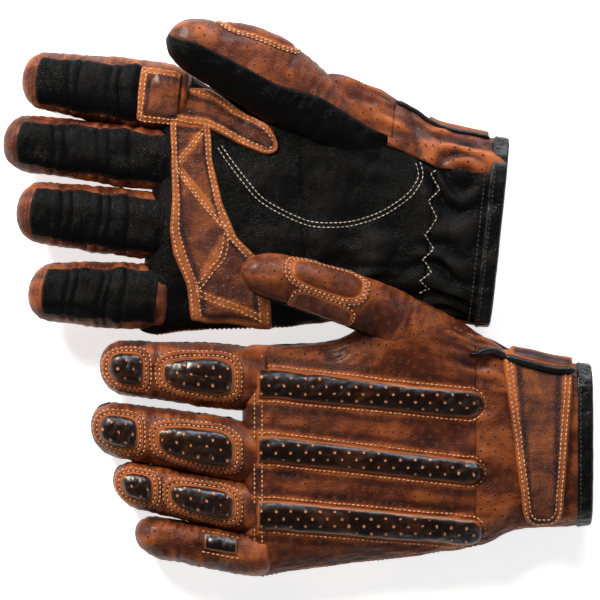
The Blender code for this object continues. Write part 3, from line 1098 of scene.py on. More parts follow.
# ---- sewing
@dataclass
class Seams:
    """Collects the stitches of one body and thread, and makes them one object.

    A stitch is a short capsule of five rings of five points that dips into the leather at both
    ends. Its template is carried to every stitch place as one array operation.
    """

    name: str
    thread: Thread
    pitch: float = 2.3 * MM
    length: float = 1.6 * MM
    places: list = field(default_factory=list)

    def sew(self, plan: Plan, x: Array, y: Array, height: float = 0.15 * MM) -> None:
        """Add a line of stitches along plan points.

        Args:
            plan: layout that the line lies on.
            x: plan positions along the surface.
            y: plan positions across the surface.
            height: height of the thread above the leather.
        """
        points = plan.at(x, y, height)
        normals = plan.normal(x, y)
        lengths = path_lengths(points)
        count = max(int(lengths[-1] / self.pitch), 1)
        middles = (np.arange(count) + 0.5) * lengths[-1] / count
        ends = (middles, middles + 0.4 * MM, middles - 0.4 * MM)
        centre, ahead, behind = (on_path(end, lengths, points) for end in ends)
        normal = on_path(middles, lengths, normals)
        self.places.append((centre, unit(ahead - behind), unit(normal)))

    def build(self) -> Optional[Piece]:
        """Make the stitches' object, or nothing if there are none.

        Returns:
            The stitches' object, or None.
        """
        if not self.places:
            return None
        centre, along, normal = (np.concatenate(item) for item in zip(*self.places))
        across = unit(np.cross(along, normal))
        normal = np.cross(across, along)
        rings = np.array([-1.0, -0.62, 0.0, 0.62, 1.0])
        size = np.array([0.35, 0.9, 1.0, 0.9, 0.35])
        dip = np.array([-0.5, -0.08, 0.1, -0.08, -0.5])
        turn = np.arange(5) * TURN / 5.0
        x = np.repeat(rings * self.length / 2.0, 5)
        y = (size[:, None] * np.cos(turn)).ravel() * self.thread.size
        z = (size[:, None] * np.sin(turn) + dip[:, None]).ravel() * self.thread.size
        points = (centre[:, None] + x[None, :, None] * along[:, None]
                  + y[None, :, None] * across[:, None] + z[None, :, None] * normal[:, None])
        sides = grid_faces(5, 5, True)
        quads = np.concatenate([sides, [[0, 1, 2, 3], [0, 3, 4, 4]]])
        fan = np.array([[24, 23, 22, 21], [24, 21, 20, 20]])
        quads = np.concatenate([quads, fan])
        triangles = np.concatenate([quads[:, [0, 1, 2]], quads[:, [0, 2, 3]]])
        triangles = triangles[triangles[:, 1] != triangles[:, 2]]
        triangles = triangles[triangles[:, 0] != triangles[:, 2]]
        test = points[0][triangles]
        volume = np.sum(np.cross(test[:, 0], test[:, 1]) * test[:, 2])
        if volume < 0.0:
            triangles = triangles[:, ::-1]
        faces = (triangles[None] + (np.arange(len(centre)) * 25)[:, None, None]).reshape(-1, 3)
        return make_object(self.name, points, faces, self.thread.build())


@dataclass
class Workshop:
    """Makes the leather pieces of one glove and hands them to their bodies."""

    axes: GloveFrame
    seams: dict = field(default_factory=dict)

    def hand_over(self, made: Piece, body: str, nodes: Sequence[str] = ()) -> Piece:
        """Ride a piece on a body, hide the CAD nodes that it stands for, and log it.

        Args:
            made: the piece.
            body: the body, without its side.
            nodes: CAD nodes that it stands for, without their side.

        Returns:
            The piece.
        """
        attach(made, self.axes.name(body))
        self.describe(made, nodes)
        return made

    def describe(self, made: Piece, nodes: Sequence[str]) -> None:
        """Hide the CAD nodes that a piece stands for, and write a line in the log.

        Args:
            made: the piece.
            nodes: CAD nodes that it stands for, without their side.
        """
        if nodes:
            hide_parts(*[self.axes.name(node) for node in nodes])
        LOG.info("%s: %d faces", made.name, len(made.data.polygons))

    def thread(self, body: str, kind: Thread = TAN_THREAD) -> Seams:
        """The collection of stitches of one thread on one body.

        Args:
            body: the body, without its side.
            kind: the thread.

        Returns:
            The collection.
        """
        key = (body, kind.name)
        if key not in self.seams:
            name = self.axes.name(f"{body}_{kind.name}")
            self.seams[key] = Seams(name, kind)
        return self.seams[key]

    def skin(self, name: str, surface: Surface, first: Array, second: Array, finish: Finish,
             reach: float = 1.0, holes: Optional[Callable] = None,
             wall: float = 0.0, lift: Optional[Callable] = None, closed: bool = False,
             span: Optional[Callable] = None) -> Piece:
        """Leather sheet over a range of a surface's parameters.

        Args:
            name: the piece's name within its glove.
            surface: surface to follow.
            first: values of the first parameter.
            second: values of the second parameter.
            finish: material maker.
            reach: metres per unit of the first parameter, for the flat map.
            holes: function of both parameters that says where the hide is punched.
            wall: thickness, or 0 for none.
            lift: function of the first parameter that gives the sheet's height, if it has one.
            closed: whether the sheet closes on itself and at its poles.
            span: function of the first parameter that gives the lowest and highest values of the
                second one, whose list is then parts from 0 to 1.

        Returns:
            The sheet's object.
        """
        a, b = mesh_grid(first, second)
        if span:
            low, high = span(a)
            b = low + (high - low) * b
        points = surface.lifted(a, b, lift(a)) if lift else surface.at(a, b)
        faces = outward(points, grid_faces(len(first), len(second), False), points - surface.core(a, b))
        relief = surface.relief(a, b, surface)
        # The sunken relief gets painted shade; the raised relief is rubbed lighter.
        level = relief - np.median(relief)
        marks = {"worn": np.clip(level / (1.5 * MM), 0.0, 1.0),
                 "hollow": np.clip(-level / (1.9 * MM), 0.0, 1.0),
                 "holes": holes(a, b) if holes else np.zeros_like(a)}
        arc = np.linalg.norm(np.diff(points, axis=1), axis=-1)
        arc = np.concatenate([np.zeros((len(first), 1)), np.cumsum(arc, axis=1)], axis=1)
        middle = int(np.abs(b[len(first) // 2] - math.pi / 2.0).argmin())
        flat = np.stack([a * reach, arc - arc[:, middle:middle + 1]], axis=-1)
        made = make_object(self.axes.name(name), points, faces, finish.build(), flat, marks)
        if closed:
            merge_poles(made)
        if wall:
            thicken(made, wall)
        return made

    def drape(self, name: str, plan: Plan, x: Array, y: Array, lift: Array, finish: Finish,
              marks: dict[str, Array]) -> Piece:
        """Sheet over a grid of plan points.

        Args:
            name: the piece's name within its glove.
            plan: layout that the sheet lies on.
            x: plan positions along the surface.
            y: plan positions across the surface.
            lift: heights above the surface.
            finish: its leather or fabric.
            marks: per-point values for the material.

        Returns:
            The sheet's object.
        """
        points = plan.at(x, y, lift)
        faces = outward(points, grid_faces(*x.shape, False), plan.normal(x, y))
        return make_object(self.axes.name(name), points, faces, finish.build(),
                           np.stack([x, y], axis=-1), marks)

    def pad(self, name: str, plan: Plan, outline: Outline, height: float, finish: Leather = PAD_HIDE,
            puff: float = 2.6) -> Piece:
        """Padded oval: a dome over an outline, its foam fullest in the middle.

        The height is h * (1 - p**puff) ** 0.5 at a part p of the way out, and the edge turns down
        into the leather. The last steps of the edge are marked as rubbed.

        Args:
            name: the piece's name within its glove.
            plan: layout that the pad lies on.
            outline: its outline.
            height: height of its middle.
            finish: its leather.
            puff: exponent of the dome.

        Returns:
            The pad's object.
        """
        part, turn = mesh_grid(quick_start(22), np.linspace(0.0, TURN, 97))
        x, y = outline.points(part, turn)
        rise = height * np.sqrt(np.maximum(1.0 - part ** puff, 0.0))
        slack = 0.10 * MM * ripple(x, y, len(name) * 7, (6.0 * MM, 5.0 * MM)) * (1.0 - part ** 4)
        lift = rise + slack - 0.7 * MM * (part > 0.999)
        marks = {"worn": np.clip(2.4 * smoothstep(0.93, 1.0, part), 0.0, 1.0),
                 "hollow": 0.0 * part, "holes": 1.0 - smoothstep(0.86, 0.93, part)}
        made = self.drape(name, plan, x, y, lift, finish, marks)
        merge_poles(made)
        return made

    def ring(self, name: str, plan: Plan, outline: Outline, body: str, width: float = 4.4 * MM,
             height: float = 0.75 * MM, rows: Sequence[float] = (1.5, 3.7)) -> Piece:
        """Stitched brown frame round a pad.

        Its height over its width is a burnished lip, a stitched groove, a flat ridge and a second
        groove, and its two edges turn down into the leather.

        Args:
            name: the piece's name within its glove.
            plan: layout that the frame lies on.
            outline: outline of the pad inside it.
            body: body that its stitches ride on.
            width: width of the frame.
            height: height of its ridge.
            rows: distances of the stitch rows from the pad, in millimetres.

        Returns:
            The frame's object.
        """
        out, turn = mesh_grid(np.linspace(-0.2 * MM, width, 19), np.linspace(0.0, TURN, 121))
        profile = height * (0.55 * bump(out, 0.5 * MM, 0.55 * MM)
                            + smoothstep(1.4 * MM, 2.3 * MM, out)
                            * (1.0 - smoothstep(0.72, 0.88, out / width))
                            + 0.22 * smoothstep(0.86 * width, 0.9 * width, out))
        edge = smoothstep(width - 0.5 * MM, width, out)
        lift = profile + 0.25 * MM - 0.9 * MM * edge
        x, y = outline.points(1.0 + 0.0 * out, turn, out)
        level = profile / height
        # The frame's low grooves, away from its lip, get painted shade.
        marks = {"worn": np.clip(level * 0.45 + 0.8 * bump(out, 0.5 * MM, 0.6 * MM) - 0.1, 0.0, 1.0),
                 "hollow": np.clip(0.75 - level * 1.3, 0.0, 1.0) * (out > 0.9 * MM), "holes": 0.0 * out}
        made = self.drape(name, plan, x, y, lift, BROWN_HIDE, marks)
        merge_poles(made)
        around = np.linspace(0.0, TURN, 241)
        for row in rows:
            line_x, line_y = outline.points(1.0 + 0.0 * around, around, row * MM + 0.0 * around)
            self.thread(body).sew(plan, line_x, line_y, 0.42 * MM)
        return made

    def patch(self, name: str, plan: Plan, x: Array, y: Array, height: float, finish: Finish,
              edge: float = 1.0 * MM, puff: float = 0.0, border: float = 0.0,
              sides: tuple[bool, bool, bool, bool] = (True, True, True, True)) -> Piece:
        """Flat second layer of leather over a grid of plan points, with turned-down edges.

        Args:
            name: the piece's name within its glove.
            plan: layout that the patch lies on.
            x: grid of plan positions along the surface.
            y: grid of plan positions across the surface.
            height: height of the leather above the surface.
            finish: material maker.
            edge: width over which the edges turn down.
            puff: extra height in the middle.
            border: width of a burnished border, or 0 for none.
            sides: which of first row, last row, first column, last column turn down.

        Returns:
            The patch's object.
        """
        points = plan.at(x, y)
        row_steps = np.linalg.norm(np.diff(points, axis=0), axis=-1).mean(axis=1)
        column_steps = np.linalg.norm(np.diff(points, axis=1), axis=-1).mean(axis=0)
        row = np.concatenate([[0.0], np.cumsum(row_steps)])[:, None] + 0.0 * x
        column = np.concatenate([[0.0], np.cumsum(column_steps)])[None, :] + 0.0 * x
        far = 1.0
        gaps = [row, row.max() - row, column, column.max() - column]
        near = np.min([gap if used else gap + far for gap, used in zip(gaps, sides)], axis=0)
        over = np.clip(near / edge, 0.0, 1.0)
        turned = np.sqrt(np.maximum(1.0 - (1.0 - over) ** 2, 0.0))
        middle = (4.0 * row / row.max() * (1.0 - row / row.max())
                  * 4.0 * column / column.max() * (1.0 - column / column.max()))
        lift = (height + 0.6 * MM) * turned - 0.6 * MM + puff * np.sqrt(middle)
        worn = 0.75 * bump(near, 0.9 * edge, 0.7 * edge)
        if border:
            worn = np.maximum(worn, 0.62 * (1.0 - smoothstep(0.8 * border, 1.1 * border, near)))
        # A band just inside the border, in the seam groove, gets painted shade.
        marks = {"worn": worn, "hollow": 0.6 * bump(near, max(border, 1.6 * edge) + 1.2 * MM, 1.0 * MM),
                 "holes": 0.0 * near}
        return self.drape(name, plan, x, y, lift, finish, marks)

    def roll(self, name: str, points: Array, radius: float, finish: Finish,
             closed: bool = False) -> Piece:
        """Rolled edge or piping: a round tube along a line of points, rounded at its open ends.

        A ring of 12 points is carried along the line on axes that stay square to it.

        Args:
            name: the piece's name within its glove.
            points: points along the line.
            radius: radius of the tube.
            finish: its leather.
            closed: whether the line closes on itself.

        Returns:
            The roll's object.
        """
        count = len(points)
        ahead = np.roll(points, -1, axis=0) if closed else np.concatenate([points[1:], points[-1:]])
        behind = np.roll(points, 1, axis=0) if closed else np.concatenate([points[:1], points[:-1]])
        along = unit(ahead - behind)
        side = unit(np.cross(along, np.broadcast_to([0.13, 0.21, 0.97], along.shape)))
        other = np.cross(side, along)
        size = np.ones(count)
        if not closed:
            end = np.minimum(np.arange(count), np.arange(count)[::-1])
            size = np.sqrt(np.clip(end / 3.0, 0.0, 1.0))
        turn = np.linspace(0.0, TURN, 12, endpoint=False)
        ring = (np.cos(turn)[None, :, None] * side[:, None] + np.sin(turn)[None, :, None]
                * other[:, None])
        tube = points[:, None] + ring * (radius * size)[:, None, None]
        faces = grid_faces(count, 12, True)
        if closed:
            last = (count - 1) * 12 + np.arange(12)
            join = np.stack([last, (count - 1) * 12 + (np.arange(12) + 1) % 12,
                             (np.arange(12) + 1) % 12, np.arange(12)], axis=1)
            faces = np.concatenate([faces, join])
        faces = outward(tube, faces, ring)
        flat = np.stack([np.repeat(path_lengths(points), 12), np.tile(turn * radius, count)], axis=1)
        zero = np.zeros(count * 12)
        made = make_object(self.axes.name(name), tube, faces, finish.build(), flat,
                           {"worn": zero + 0.1, "hollow": zero, "holes": zero})
        if not closed:
            merge_poles(made)
        return made

    def close(self) -> None:
        """Make the collected stitches and ride them on their bodies."""
        for (body, _), seams in self.seams.items():
            made = seams.build()
            if made:
                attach(made, self.axes.name(body))
                self.describe(made, ())


# ---- relief
def hand_relief(u: Array, angle: Array, surface: HandSurface) -> Array:
    """Folds of the hand and cuff.

    It is the sum of soft swellings, of fine wrinkles, of puckers where the wrist is drawn in, of
    gathers over the palm side of the cuff, and of the grooves of the wrist and knuckle seams.

    Args:
        u: distance from the mouth of the cuff.
        angle: angle round the section.
        surface: the hand.

    Returns:
        Height of the relief, in metres.
    """
    seed = 11 if surface.axes.side == "left" else 29
    arc = angle * HAND_RADIUS
    sine = np.sin(angle)
    back, palm = smoothstep(0.05, 0.5, sine), smoothstep(0.05, 0.5, -sine)
    soft = 0.50 * MM * ripple(u, arc, seed, (38.0 * MM, 21.0 * MM))
    fine = 0.15 * MM * ripple(u, arc, seed + 1, (10.0 * MM, 5.0 * MM), 12)
    wrist = bump(u, 60.0 * MM, 13.0 * MM)
    pucker = 0.55 * MM * wrist * ripple(u, arc, seed + 2, (40.0 * MM, 7.0 * MM))
    wave = arc / (10.5 * MM) + 0.35 * ripple(u, arc, seed + 3, (40.0 * MM, 30.0 * MM))
    gather = 1.1 * MM * np.sin(TURN * wave) * palm * bump(u, 24.0 * MM, 15.0 * MM)
    seam = -0.8 * MM * back * bump(u, surface.axes.knuckle - 2.5 * MM, 1.1 * MM)
    joint = -0.5 * MM * palm * bump(u, PALM_START, 1.6 * MM)
    crease = -0.9 * MM * palm * (bump(u - 0.35 * arc, 96.0 * MM - 0.35 * 4.7 * 27.0 * MM, 1.6 * MM))
    return soft * (1.0 - 0.4 * back) + fine + pucker + gather + seam + joint + 0.6 * crease


def finger_relief(s: Array, angle: Array, surface: FingerSurface) -> Array:
    """Folds of a finger: creases over the front at its joints, and wrinkles round its sides.

    Args:
        s: distance from the knuckle line.
        angle: angle round the section.
        surface: the finger.

    Returns:
        Height of the relief, in metres.
    """
    seed = 40 + 5 * FINGERS.index(surface.finger) + (2 if surface.axes.side == "left" else 0)
    length, sine = surface.length, np.sin(angle)
    arc = angle * 12.0 * MM
    front, back = smoothstep(0.0, 0.6, -sine), smoothstep(0.1, 0.7, sine)
    side = 1.0 - np.abs(sine) ** 1.5
    wobble = 0.8 * MM * np.sin(3.0 * angle + seed)
    places = [0.20, 0.33, 0.39, 0.60, 0.67]
    creases = sum(bump(s + wobble, part * length, 1.5 * MM) for part in places)
    swell = sum(bump(s + wobble, (part + 0.045) * length, 1.9 * MM) for part in places)
    fold = bump(s + wobble, 0.62 * length, 1.6 * MM) - 0.7 * bump(s + wobble, 0.66 * length, 2.0 * MM)
    soft = 0.32 * MM * ripple(s, arc, seed, (22.0 * MM, 14.0 * MM))
    fine = 0.13 * MM * ripple(s, arc, seed + 1, (5.0 * MM, 11.0 * MM), 12)
    wrinkle = 0.15 * MM * side * ripple(s, arc, seed + 2, (6.0 * MM, 22.0 * MM))
    return soft + fine + wrinkle + MM * (front * (0.45 * swell - 0.75 * creases) - 0.5 * back * fold)


def thumb_relief(part: Array, angle: Array, surface: ThumbSurface) -> Array:
    """Folds of the thumb: soft swellings, and wrinkles across it near its root.

    Args:
        part: part of the middle line.
        angle: angle round the section.
        surface: the thumb.

    Returns:
        Height of the relief, in metres.
    """
    seed = 81 if surface.axes.side == "left" else 95
    along, arc = part * THUMB_LENGTH, angle * 12.0 * MM
    root = bump(part, 0.42, 0.13)
    soft = 0.30 * MM * ripple(along, arc, seed, (26.0 * MM, 16.0 * MM))
    wrinkle = 0.20 * MM * root * ripple(along, arc, seed + 1, (6.0 * MM, 20.0 * MM))
    return soft + wrinkle + 0.13 * MM * ripple(along, arc, seed + 2, (6.0 * MM, 9.0 * MM), 12)


# ---- glove
THUMB_LENGTH = 131.0 * MM
HAND_RADIUS = 27.0 * MM
CUFF_LENGTH = 56.5 * MM
BACK_EDGE = math.radians(8.0)
CUFF_WRAP = math.radians(56.0)
PALM_START = 33.0 * MM
SLIT_TURN = math.radians(29.0)


@dataclass
class Glove:
    """One glove: its surfaces, and the methods that build its parts in turn.

    Attributes:
        side: "right" or "left".
    """

    side: str
    axes: GloveFrame = field(init=False)
    shop: Workshop = field(init=False)
    hand: HandSurface = field(init=False)
    thumb: ThumbSurface = field(init=False)

    def __post_init__(self) -> None:
        """Make the glove's surfaces and layouts."""
        self.axes = GloveFrame(self.side)
        self.shop = Workshop(self.axes)
        self.hand = HandSurface(self.axes, hand_relief)
        self.thumb = ThumbSurface(self.axes, thumb_relief)
        self.back = hand_plan(self.hand, 1)
        self.palm = hand_plan(self.hand, -1)

    def build(self) -> None:
        """Make the whole glove."""
        self.hand_panels()
        self.cuff()
        self.bars()
        for finger in FINGERS:
            self.finger(finger)
        self.thumb_parts()
        self.palm_work()
        self.strap()
        self.shop.close()

    def hand_panels(self) -> None:
        """The punched back and the smooth palm of the hand, meeting at the side seams."""
        knuckle = self.axes.knuckle
        u = np.concatenate([np.linspace(CUFF_LENGTH, knuckle - 6.0 * MM, 96),
                            knuckle - 5.0 * MM + self.hand.end * quick_start(14)])
        back = self.shop.skin("back_panel", self.hand, u, np.linspace(0.0, 1.0, 170), PUNCHED_HIDE, 1.0,
                              lambda a, b: smoothstep(62.0 * MM, 66.0 * MM, a)
                              * (1.0 - smoothstep(knuckle - 8.0 * MM, knuckle - 6.0 * MM, a)), 1.3 * MM,
                              span=lambda a: (-self.wrap(a), math.pi + BACK_EDGE + 0.0 * a))
        self.shop.hand_over(back, "hand", ["hand_back"])
        self.back_sheet = back
        u = np.concatenate([np.linspace(PALM_START, CUFF_LENGTH, 18)[:-1], u])
        palm = self.shop.skin("palm_sheet", self.hand, u, np.linspace(0.0, 1.0, 130), PALM_HIDE,
                              wall=1.2 * MM,
                              span=lambda a: (math.pi + BACK_EDGE + 0.0 * a, TURN - self.wrap(a)))
        self.shop.hand_over(palm, "hand", ["palm_panel"])
        line = Plan(self.hand, lambda x, y: (x, y))
        x = np.linspace(CUFF_LENGTH + MM, knuckle - 5.0 * MM, 120)
        self.shop.thread("hand").sew(line, x, math.pi + BACK_EDGE - 0.05 + 0.0 * x)
        y = np.linspace(self.across(knuckle, -0.93), self.across(knuckle, 0.9), 160)
        for offset in (0.9, 4.6):
            self.shop.thread("hand").sew(self.back, knuckle - offset * MM - 1.4 * MM + 0.0 * y, y)

    @staticmethod
    def wrap(u: Array) -> Array:
        """How far the back wraps under the thumb's side: far by the wrist, little beyond."""
        return BACK_EDGE + (CUFF_WRAP - BACK_EDGE - 0.1) * (1.0 - smoothstep(80.0 * MM, 122.0 * MM, u))

    def across(self, u: float, part: float) -> float:
        """Place across the hand, -1 at the little finger's side and 1 at the thumb's."""
        thumb, little = self.hand.half_widths(np.array(u))
        return float(part * (thumb if part > 0.0 else little))

    def cuff(self) -> None:
        """The cuff: punched back, gathered palm side, bound mouth, and the bound slit."""
        u = np.linspace(0.0, CUFF_LENGTH + 2.0 * MM, 62)
        back = self.shop.skin("cuff_back_sheet", self.hand, u,
                              np.linspace(-CUFF_WRAP, math.pi + BACK_EDGE, 150), PUNCHED_HIDE,
                              1.0, lambda a, b: smoothstep(7.0 * MM, 10.0 * MM, a), 1.2 * MM,
                              lambda a: 0.55 * MM - 0.9 * MM * smoothstep(52.0 * MM, 58.5 * MM, a))
        self.shop.hand_over(back, "hand", ["cuff_back"])
        palm = self.shop.skin("cuff_palm_sheet", self.hand, np.linspace(0.0, PALM_START, 40),
                              np.linspace(math.pi + BACK_EDGE, TURN - CUFF_WRAP, 120),
                              PALM_HIDE, wall=1.2 * MM)
        self.shop.hand_over(palm, "hand", ["cuff_palm"])
        turn = np.linspace(0.0, TURN, 200, endpoint=False)
        mouth = 0.5 * (self.hand.at(0.0 * turn, turn)
                       + self.hand.lifted(0.0 * turn, turn, 0.0 * turn - 1.2 * MM))
        bound = self.shop.roll("cuff_edge", mouth, 1.7 * MM, BINDING_HIDE, closed=True)
        self.shop.hand_over(bound, "hand", ["cuff_binding"])
        band = self.shop.skin("cuff_band", self.hand, np.linspace(-0.5 * MM, 6.6 * MM, 14),
                              np.linspace(0.0, TURN, 240),
                              BINDING_HIDE, lift=lambda a: 1.15 * MM - 1.0 * MM
                              * smoothstep(5.6 * MM, 6.6 * MM, a))
        self.shop.hand_over(band, "hand")
        line = Plan(self.hand, lambda x, y: (x, y))
        for offset, height in ((4.6, 1.25), (9.2, 0.2)):
            self.shop.thread("hand", BLACK_THREAD).sew(line, offset * MM + 0.0 * turn, turn,
                                                       height * MM)
        zig = np.linspace(math.pi + 0.62, TURN - CUFF_WRAP - 0.04, 420)
        saw = np.abs(np.mod(zig * 27.0 / 7.8, 1.0) * 2.0 - 1.0)
        self.shop.thread("hand", CREAM_THREAD).sew(line, 33.0 * MM + 5.0 * MM * (saw - 0.5), zig)
        slit = self.axes.measure("vent_binding")
        x = np.linspace(slit[:, 0].min(), slit[:, 0].max() + 2.0 * MM, 60)
        edge = self.hand.lifted(x, 0.0 * x - math.radians(11.0), 0.0 * x + 0.9 * MM)
        self.shop.hand_over(self.shop.roll("slit_edge", edge, 1.5 * MM, BINDING_HIDE), "hand",
                            ["vent_binding"])
        x = np.linspace(42.5 * MM, 57.0 * MM, 20)
        edge = self.hand.lifted(x, SLIT_TURN + 7.0 * (x - 42.5 * MM), 0.0 * x + 2.6 * MM)
        self.shop.hand_over(self.shop.roll("slit_roll", edge, 2.0 * MM, BINDING_HIDE), "hand")
        turn = np.linspace(-0.02, 0.05, 9)
        bead = self.hand.lifted(57.5 * MM + 0.0 * turn, SLIT_TURN + 0.10 + turn, 0.0 * turn + 2.4 * MM)
        self.shop.hand_over(self.shop.roll("slit_bead", bead, 3.1 * MM, BINDING_HIDE), "hand")

    def bars(self) -> None:
        """The three padded bars along the back, each in its channel of stitches."""
        for finger in PADDED_FINGERS:
            node = self.axes.measure(f"back_bar_{finger}")
            low, high = float(node[:, 0].min()) + 1.5 * MM, float(node[:, 0].max())
            near = node[node[:, 0] > high - 25.0 * MM]
            far = node[node[:, 0] < low + 25.0 * MM]
            starts = [0.5 * float(part[:, 1].max() + part[:, 1].min()) for part in (far, near)]
            halves = [0.5 * float(part[:, 1].max() - part[:, 1].min()) - 0.4 * MM
                      for part in (far, near)]
            half = min(max(halves[1], 6.1 * MM), 7.1 * MM)
            x = np.concatenate([low + half * slow_start(16),
                                np.linspace(low + half, high - 2.0 * MM, 84)[1:],
                                np.linspace(high - 2.0 * MM, high, 9)[1:]])
            middle = np.interp(x, [low + 8.0 * MM, high - 8.0 * MM], starts)
            edge = np.clip((x - low) / half, 0.0, 1.0)
            round_end = np.sqrt(np.maximum(1.0 - (1.0 - edge) ** 2.3, 0.0))
            wide = half * (0.90 + 0.10 * smoothstep(low, high, x)) * round_end
            across = np.sin(np.linspace(-1.0, 1.0, 33) * math.pi / 2.0)
            grid_x, part = mesh_grid(x, across)
            grid_y = middle[:, None] + wide[:, None] * part
            stop = np.sqrt(np.clip((high - grid_x) / (1.6 * MM), 0.0, 1.0))
            rise = 3.1 * MM * np.sqrt(np.maximum(1.0 - np.abs(part) ** 2.6, 0.0)) * stop
            rise = rise * np.minimum(round_end[:, None] * 1.25, 1.0)
            slack = 0.12 * MM * ripple(grid_x, grid_y, 5 + len(finger), (9.0 * MM, 6.0 * MM))
            sunk = (np.abs(part) > 0.9995) | (grid_x >= high - 1e-6) | (grid_x <= low + 1e-6)
            rim = np.maximum(smoothstep(0.84, 0.99, np.abs(part)),
                             smoothstep(high - 1.4 * MM, high, grid_x))
            marks = {"worn": 2.0 * np.clip(rim, 0.0, 0.5), "hollow": 0.0 * part,
                     "holes": 1.0 - smoothstep(0.72, 0.8, np.abs(part))}
            made = self.shop.drape(f"bar_{finger}", self.back, grid_x, grid_y,
                                   rise + slack * stop - 0.7 * MM * sunk, BAR_HIDE, marks)
            merge_poles(made)
            self.shop.hand_over(made, "hand", [f"back_bar_{finger}"])
            self.burnish(x, middle, wide)
            turn = np.linspace(-math.pi / 2.0, math.pi / 2.0, 30)
            gap = half + 1.6 * MM
            centre = np.interp(x, [low + 8.0 * MM, high - 8.0 * MM], starts)
            around_x = np.concatenate([x[::-1][:-16], low + half - gap * np.cos(turn), x[16:]])
            around_y = np.concatenate([(centre + wide + 1.6 * MM)[::-1][:-16],
                                       starts[0] - gap * np.sin(turn) * 0.94,
                                       (centre - wide - 1.6 * MM)[16:]])
            self.shop.thread("hand").sew(self.back, around_x, around_y, 0.25 * MM)

    def burnish(self, x: Array, middle: Array, wide: Array) -> None:
        """Rub the back's leather bright beside a bar, with painted shade in the channel beyond it.

        Args:
            x: places along the bar.
            middle: its middle line.
            wide: its half width.
        """
        mesh = self.back_sheet.data
        points = np.empty(3 * len(mesh.vertices))
        mesh.vertices.foreach_get("co", points)
        inside = self.axes.inside(points.reshape(-1, 3))
        gap = np.abs(inside[:, 1] - np.interp(inside[:, 0], x, middle)) - np.interp(inside[:, 0], x,
                                                                                    wide)
        gap = np.where((inside[:, 0] < x[0] - 4.0 * MM) | (inside[:, 2] < 2.0 * MM), 1.0, gap)
        # The channel beyond the bar gets painted shade; the rubbed strip beside it is real wear.
        for mark, level in (("worn", 0.55 * (1.0 - smoothstep(2.2 * MM, 3.4 * MM, gap))),
                            ("hollow", 0.45 * bump(gap, 5.0 * MM, 1.6 * MM)),
                            ("holes", smoothstep(3.0 * MM, 3.6 * MM, gap) - 1.0)):
            remark(self.back_sheet, mark, level, mark == "holes")

    def bend(self, made: Piece, finger: str, nodes: Sequence[str] = ()) -> None:
        """Bake the transform of a piece that crosses the knuckle line into its mesh, hide the CAD nodes
        that it stands for, and log it.

        Args:
            made: the piece.
            finger: the finger.
            nodes: CAD nodes that it stands for, without their side.
        """
        pivot = np.array(self.axes.joint(f"{finger}_bend")["pos_m"])
        self.axes.name("hand")
        self.axes.name(finger)
        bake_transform(made)
        self.shop.describe(made, nodes)

    def finger(self, finger: str) -> None:
        """One finger: its brown tube, black front inset, pads with stitched frames, and seams.

        Args:
            finger: index, middle, ring or little.
        """
        surface = FingerSurface(self.axes, finger, finger_relief)
        back, front = finger_plan(surface, 1), finger_plan(surface, -1)
        length = surface.length
        s = np.concatenate([np.linspace(surface.start, length - surface.tip, 84)[:-1],
                            length - surface.tip + surface.tip * quick_start(26)])
        s[:5] = surface.start + 3.0 * MM * slow_start(5) * 0.98
        s = np.sort(s)
        tube = self.shop.skin(f"{finger}_tube", surface, s, np.linspace(0.0, TURN, 97), PUNCHED_HIDE,
                              1.0, lambda a, b: smoothstep(-0.1, 0.15, np.sin(b))
                              * smoothstep(2.0 * MM, 5.0 * MM, a)
                              * (1.0 - smoothstep(length - 7.0 * MM, length - 4.0 * MM, a)),
                              closed=True)
        self.bend(tube, finger, [f"{finger}_back"])
        half = 0.80 * surface.width_root
        x_part, y_part = mesh_grid(np.linspace(0.0, 1.0, 90), np.linspace(-1.0, 1.0, 41))
        low, high = -4.5 * MM, length - 7.0 * MM

        def wave(part: Array) -> Array:
            """Half width of the front at a part of its length: a slow wave, narrowed at the tip."""
            wide = 1.0 + 0.07 * np.cos(6.0 * part * math.pi)
            return half * wide * (1.0 - 0.10 * smoothstep(0.82, 1.0, part))

        x = low + (high - low) * x_part - 1.8 * MM * y_part ** 2 * smoothstep(0.7, 1.0, x_part)
        inset = self.shop.patch(f"{finger}_inset", front, x, y_part * wave(x_part), 0.75 * MM,
                                PALM_HIDE, 1.1 * MM)
        self.bend(inset, finger, [f"{finger}_front"])
        edge = np.linspace(0.06, 1.0, 140)
        line_x = low + (high - low) * edge
        line_y = wave(edge)
        far = self.shop.thread(finger, BURNT_THREAD)
        ahead = line_x > 9.0 * MM
        for way in (-1.0, 1.0):
            far.sew(front, line_x[ahead], way * (line_y[ahead] + 1.3 * MM), 0.0)
        cross = np.linspace(-1.0, 1.0, 40)
        far.sew(front, high + 1.9 * MM - 1.8 * MM * cross ** 2, cross * (line_y[-1] + 1.0 * MM))
        if finger in PADDED_FINGERS:
            for kind, taper, height in (("knuckle_pad", 0.30, 3.4 * MM), ("tip_pad", 0.16, 2.9 * MM)):
                self.finger_pad(surface, back, finger, kind, taper, height)
        else:
            self.plain_insert(back, length)
        if finger == "index":
            gx, gy = mesh_grid(np.linspace(-4.5 * MM, 15.5 * MM, 40), np.linspace(-1.0, 1.0, 31))
            piece = self.shop.patch("index_web", front, gx, gy * 12.2 * MM, 1.5 * MM, STRIPED_HIDE,
                                    1.1 * MM,
                                    border=4.0 * MM, sides=(False, True, True, True))
            self.bend(piece, finger)
            along = np.linspace(-2.0 * MM, 14.0 * MM, 24)
            tan = self.shop.thread(finger)
            for inset_by in (1.4, 3.4):
                for way in (-1.0, 1.0):
                    tan.sew(front, along, way * (12.2 - inset_by) * MM + 0.0 * along, 1.6 * MM)
                tan.sew(front, (15.5 - inset_by) * MM + 0.0 * cross, cross * 10.6 * MM, 1.6 * MM)

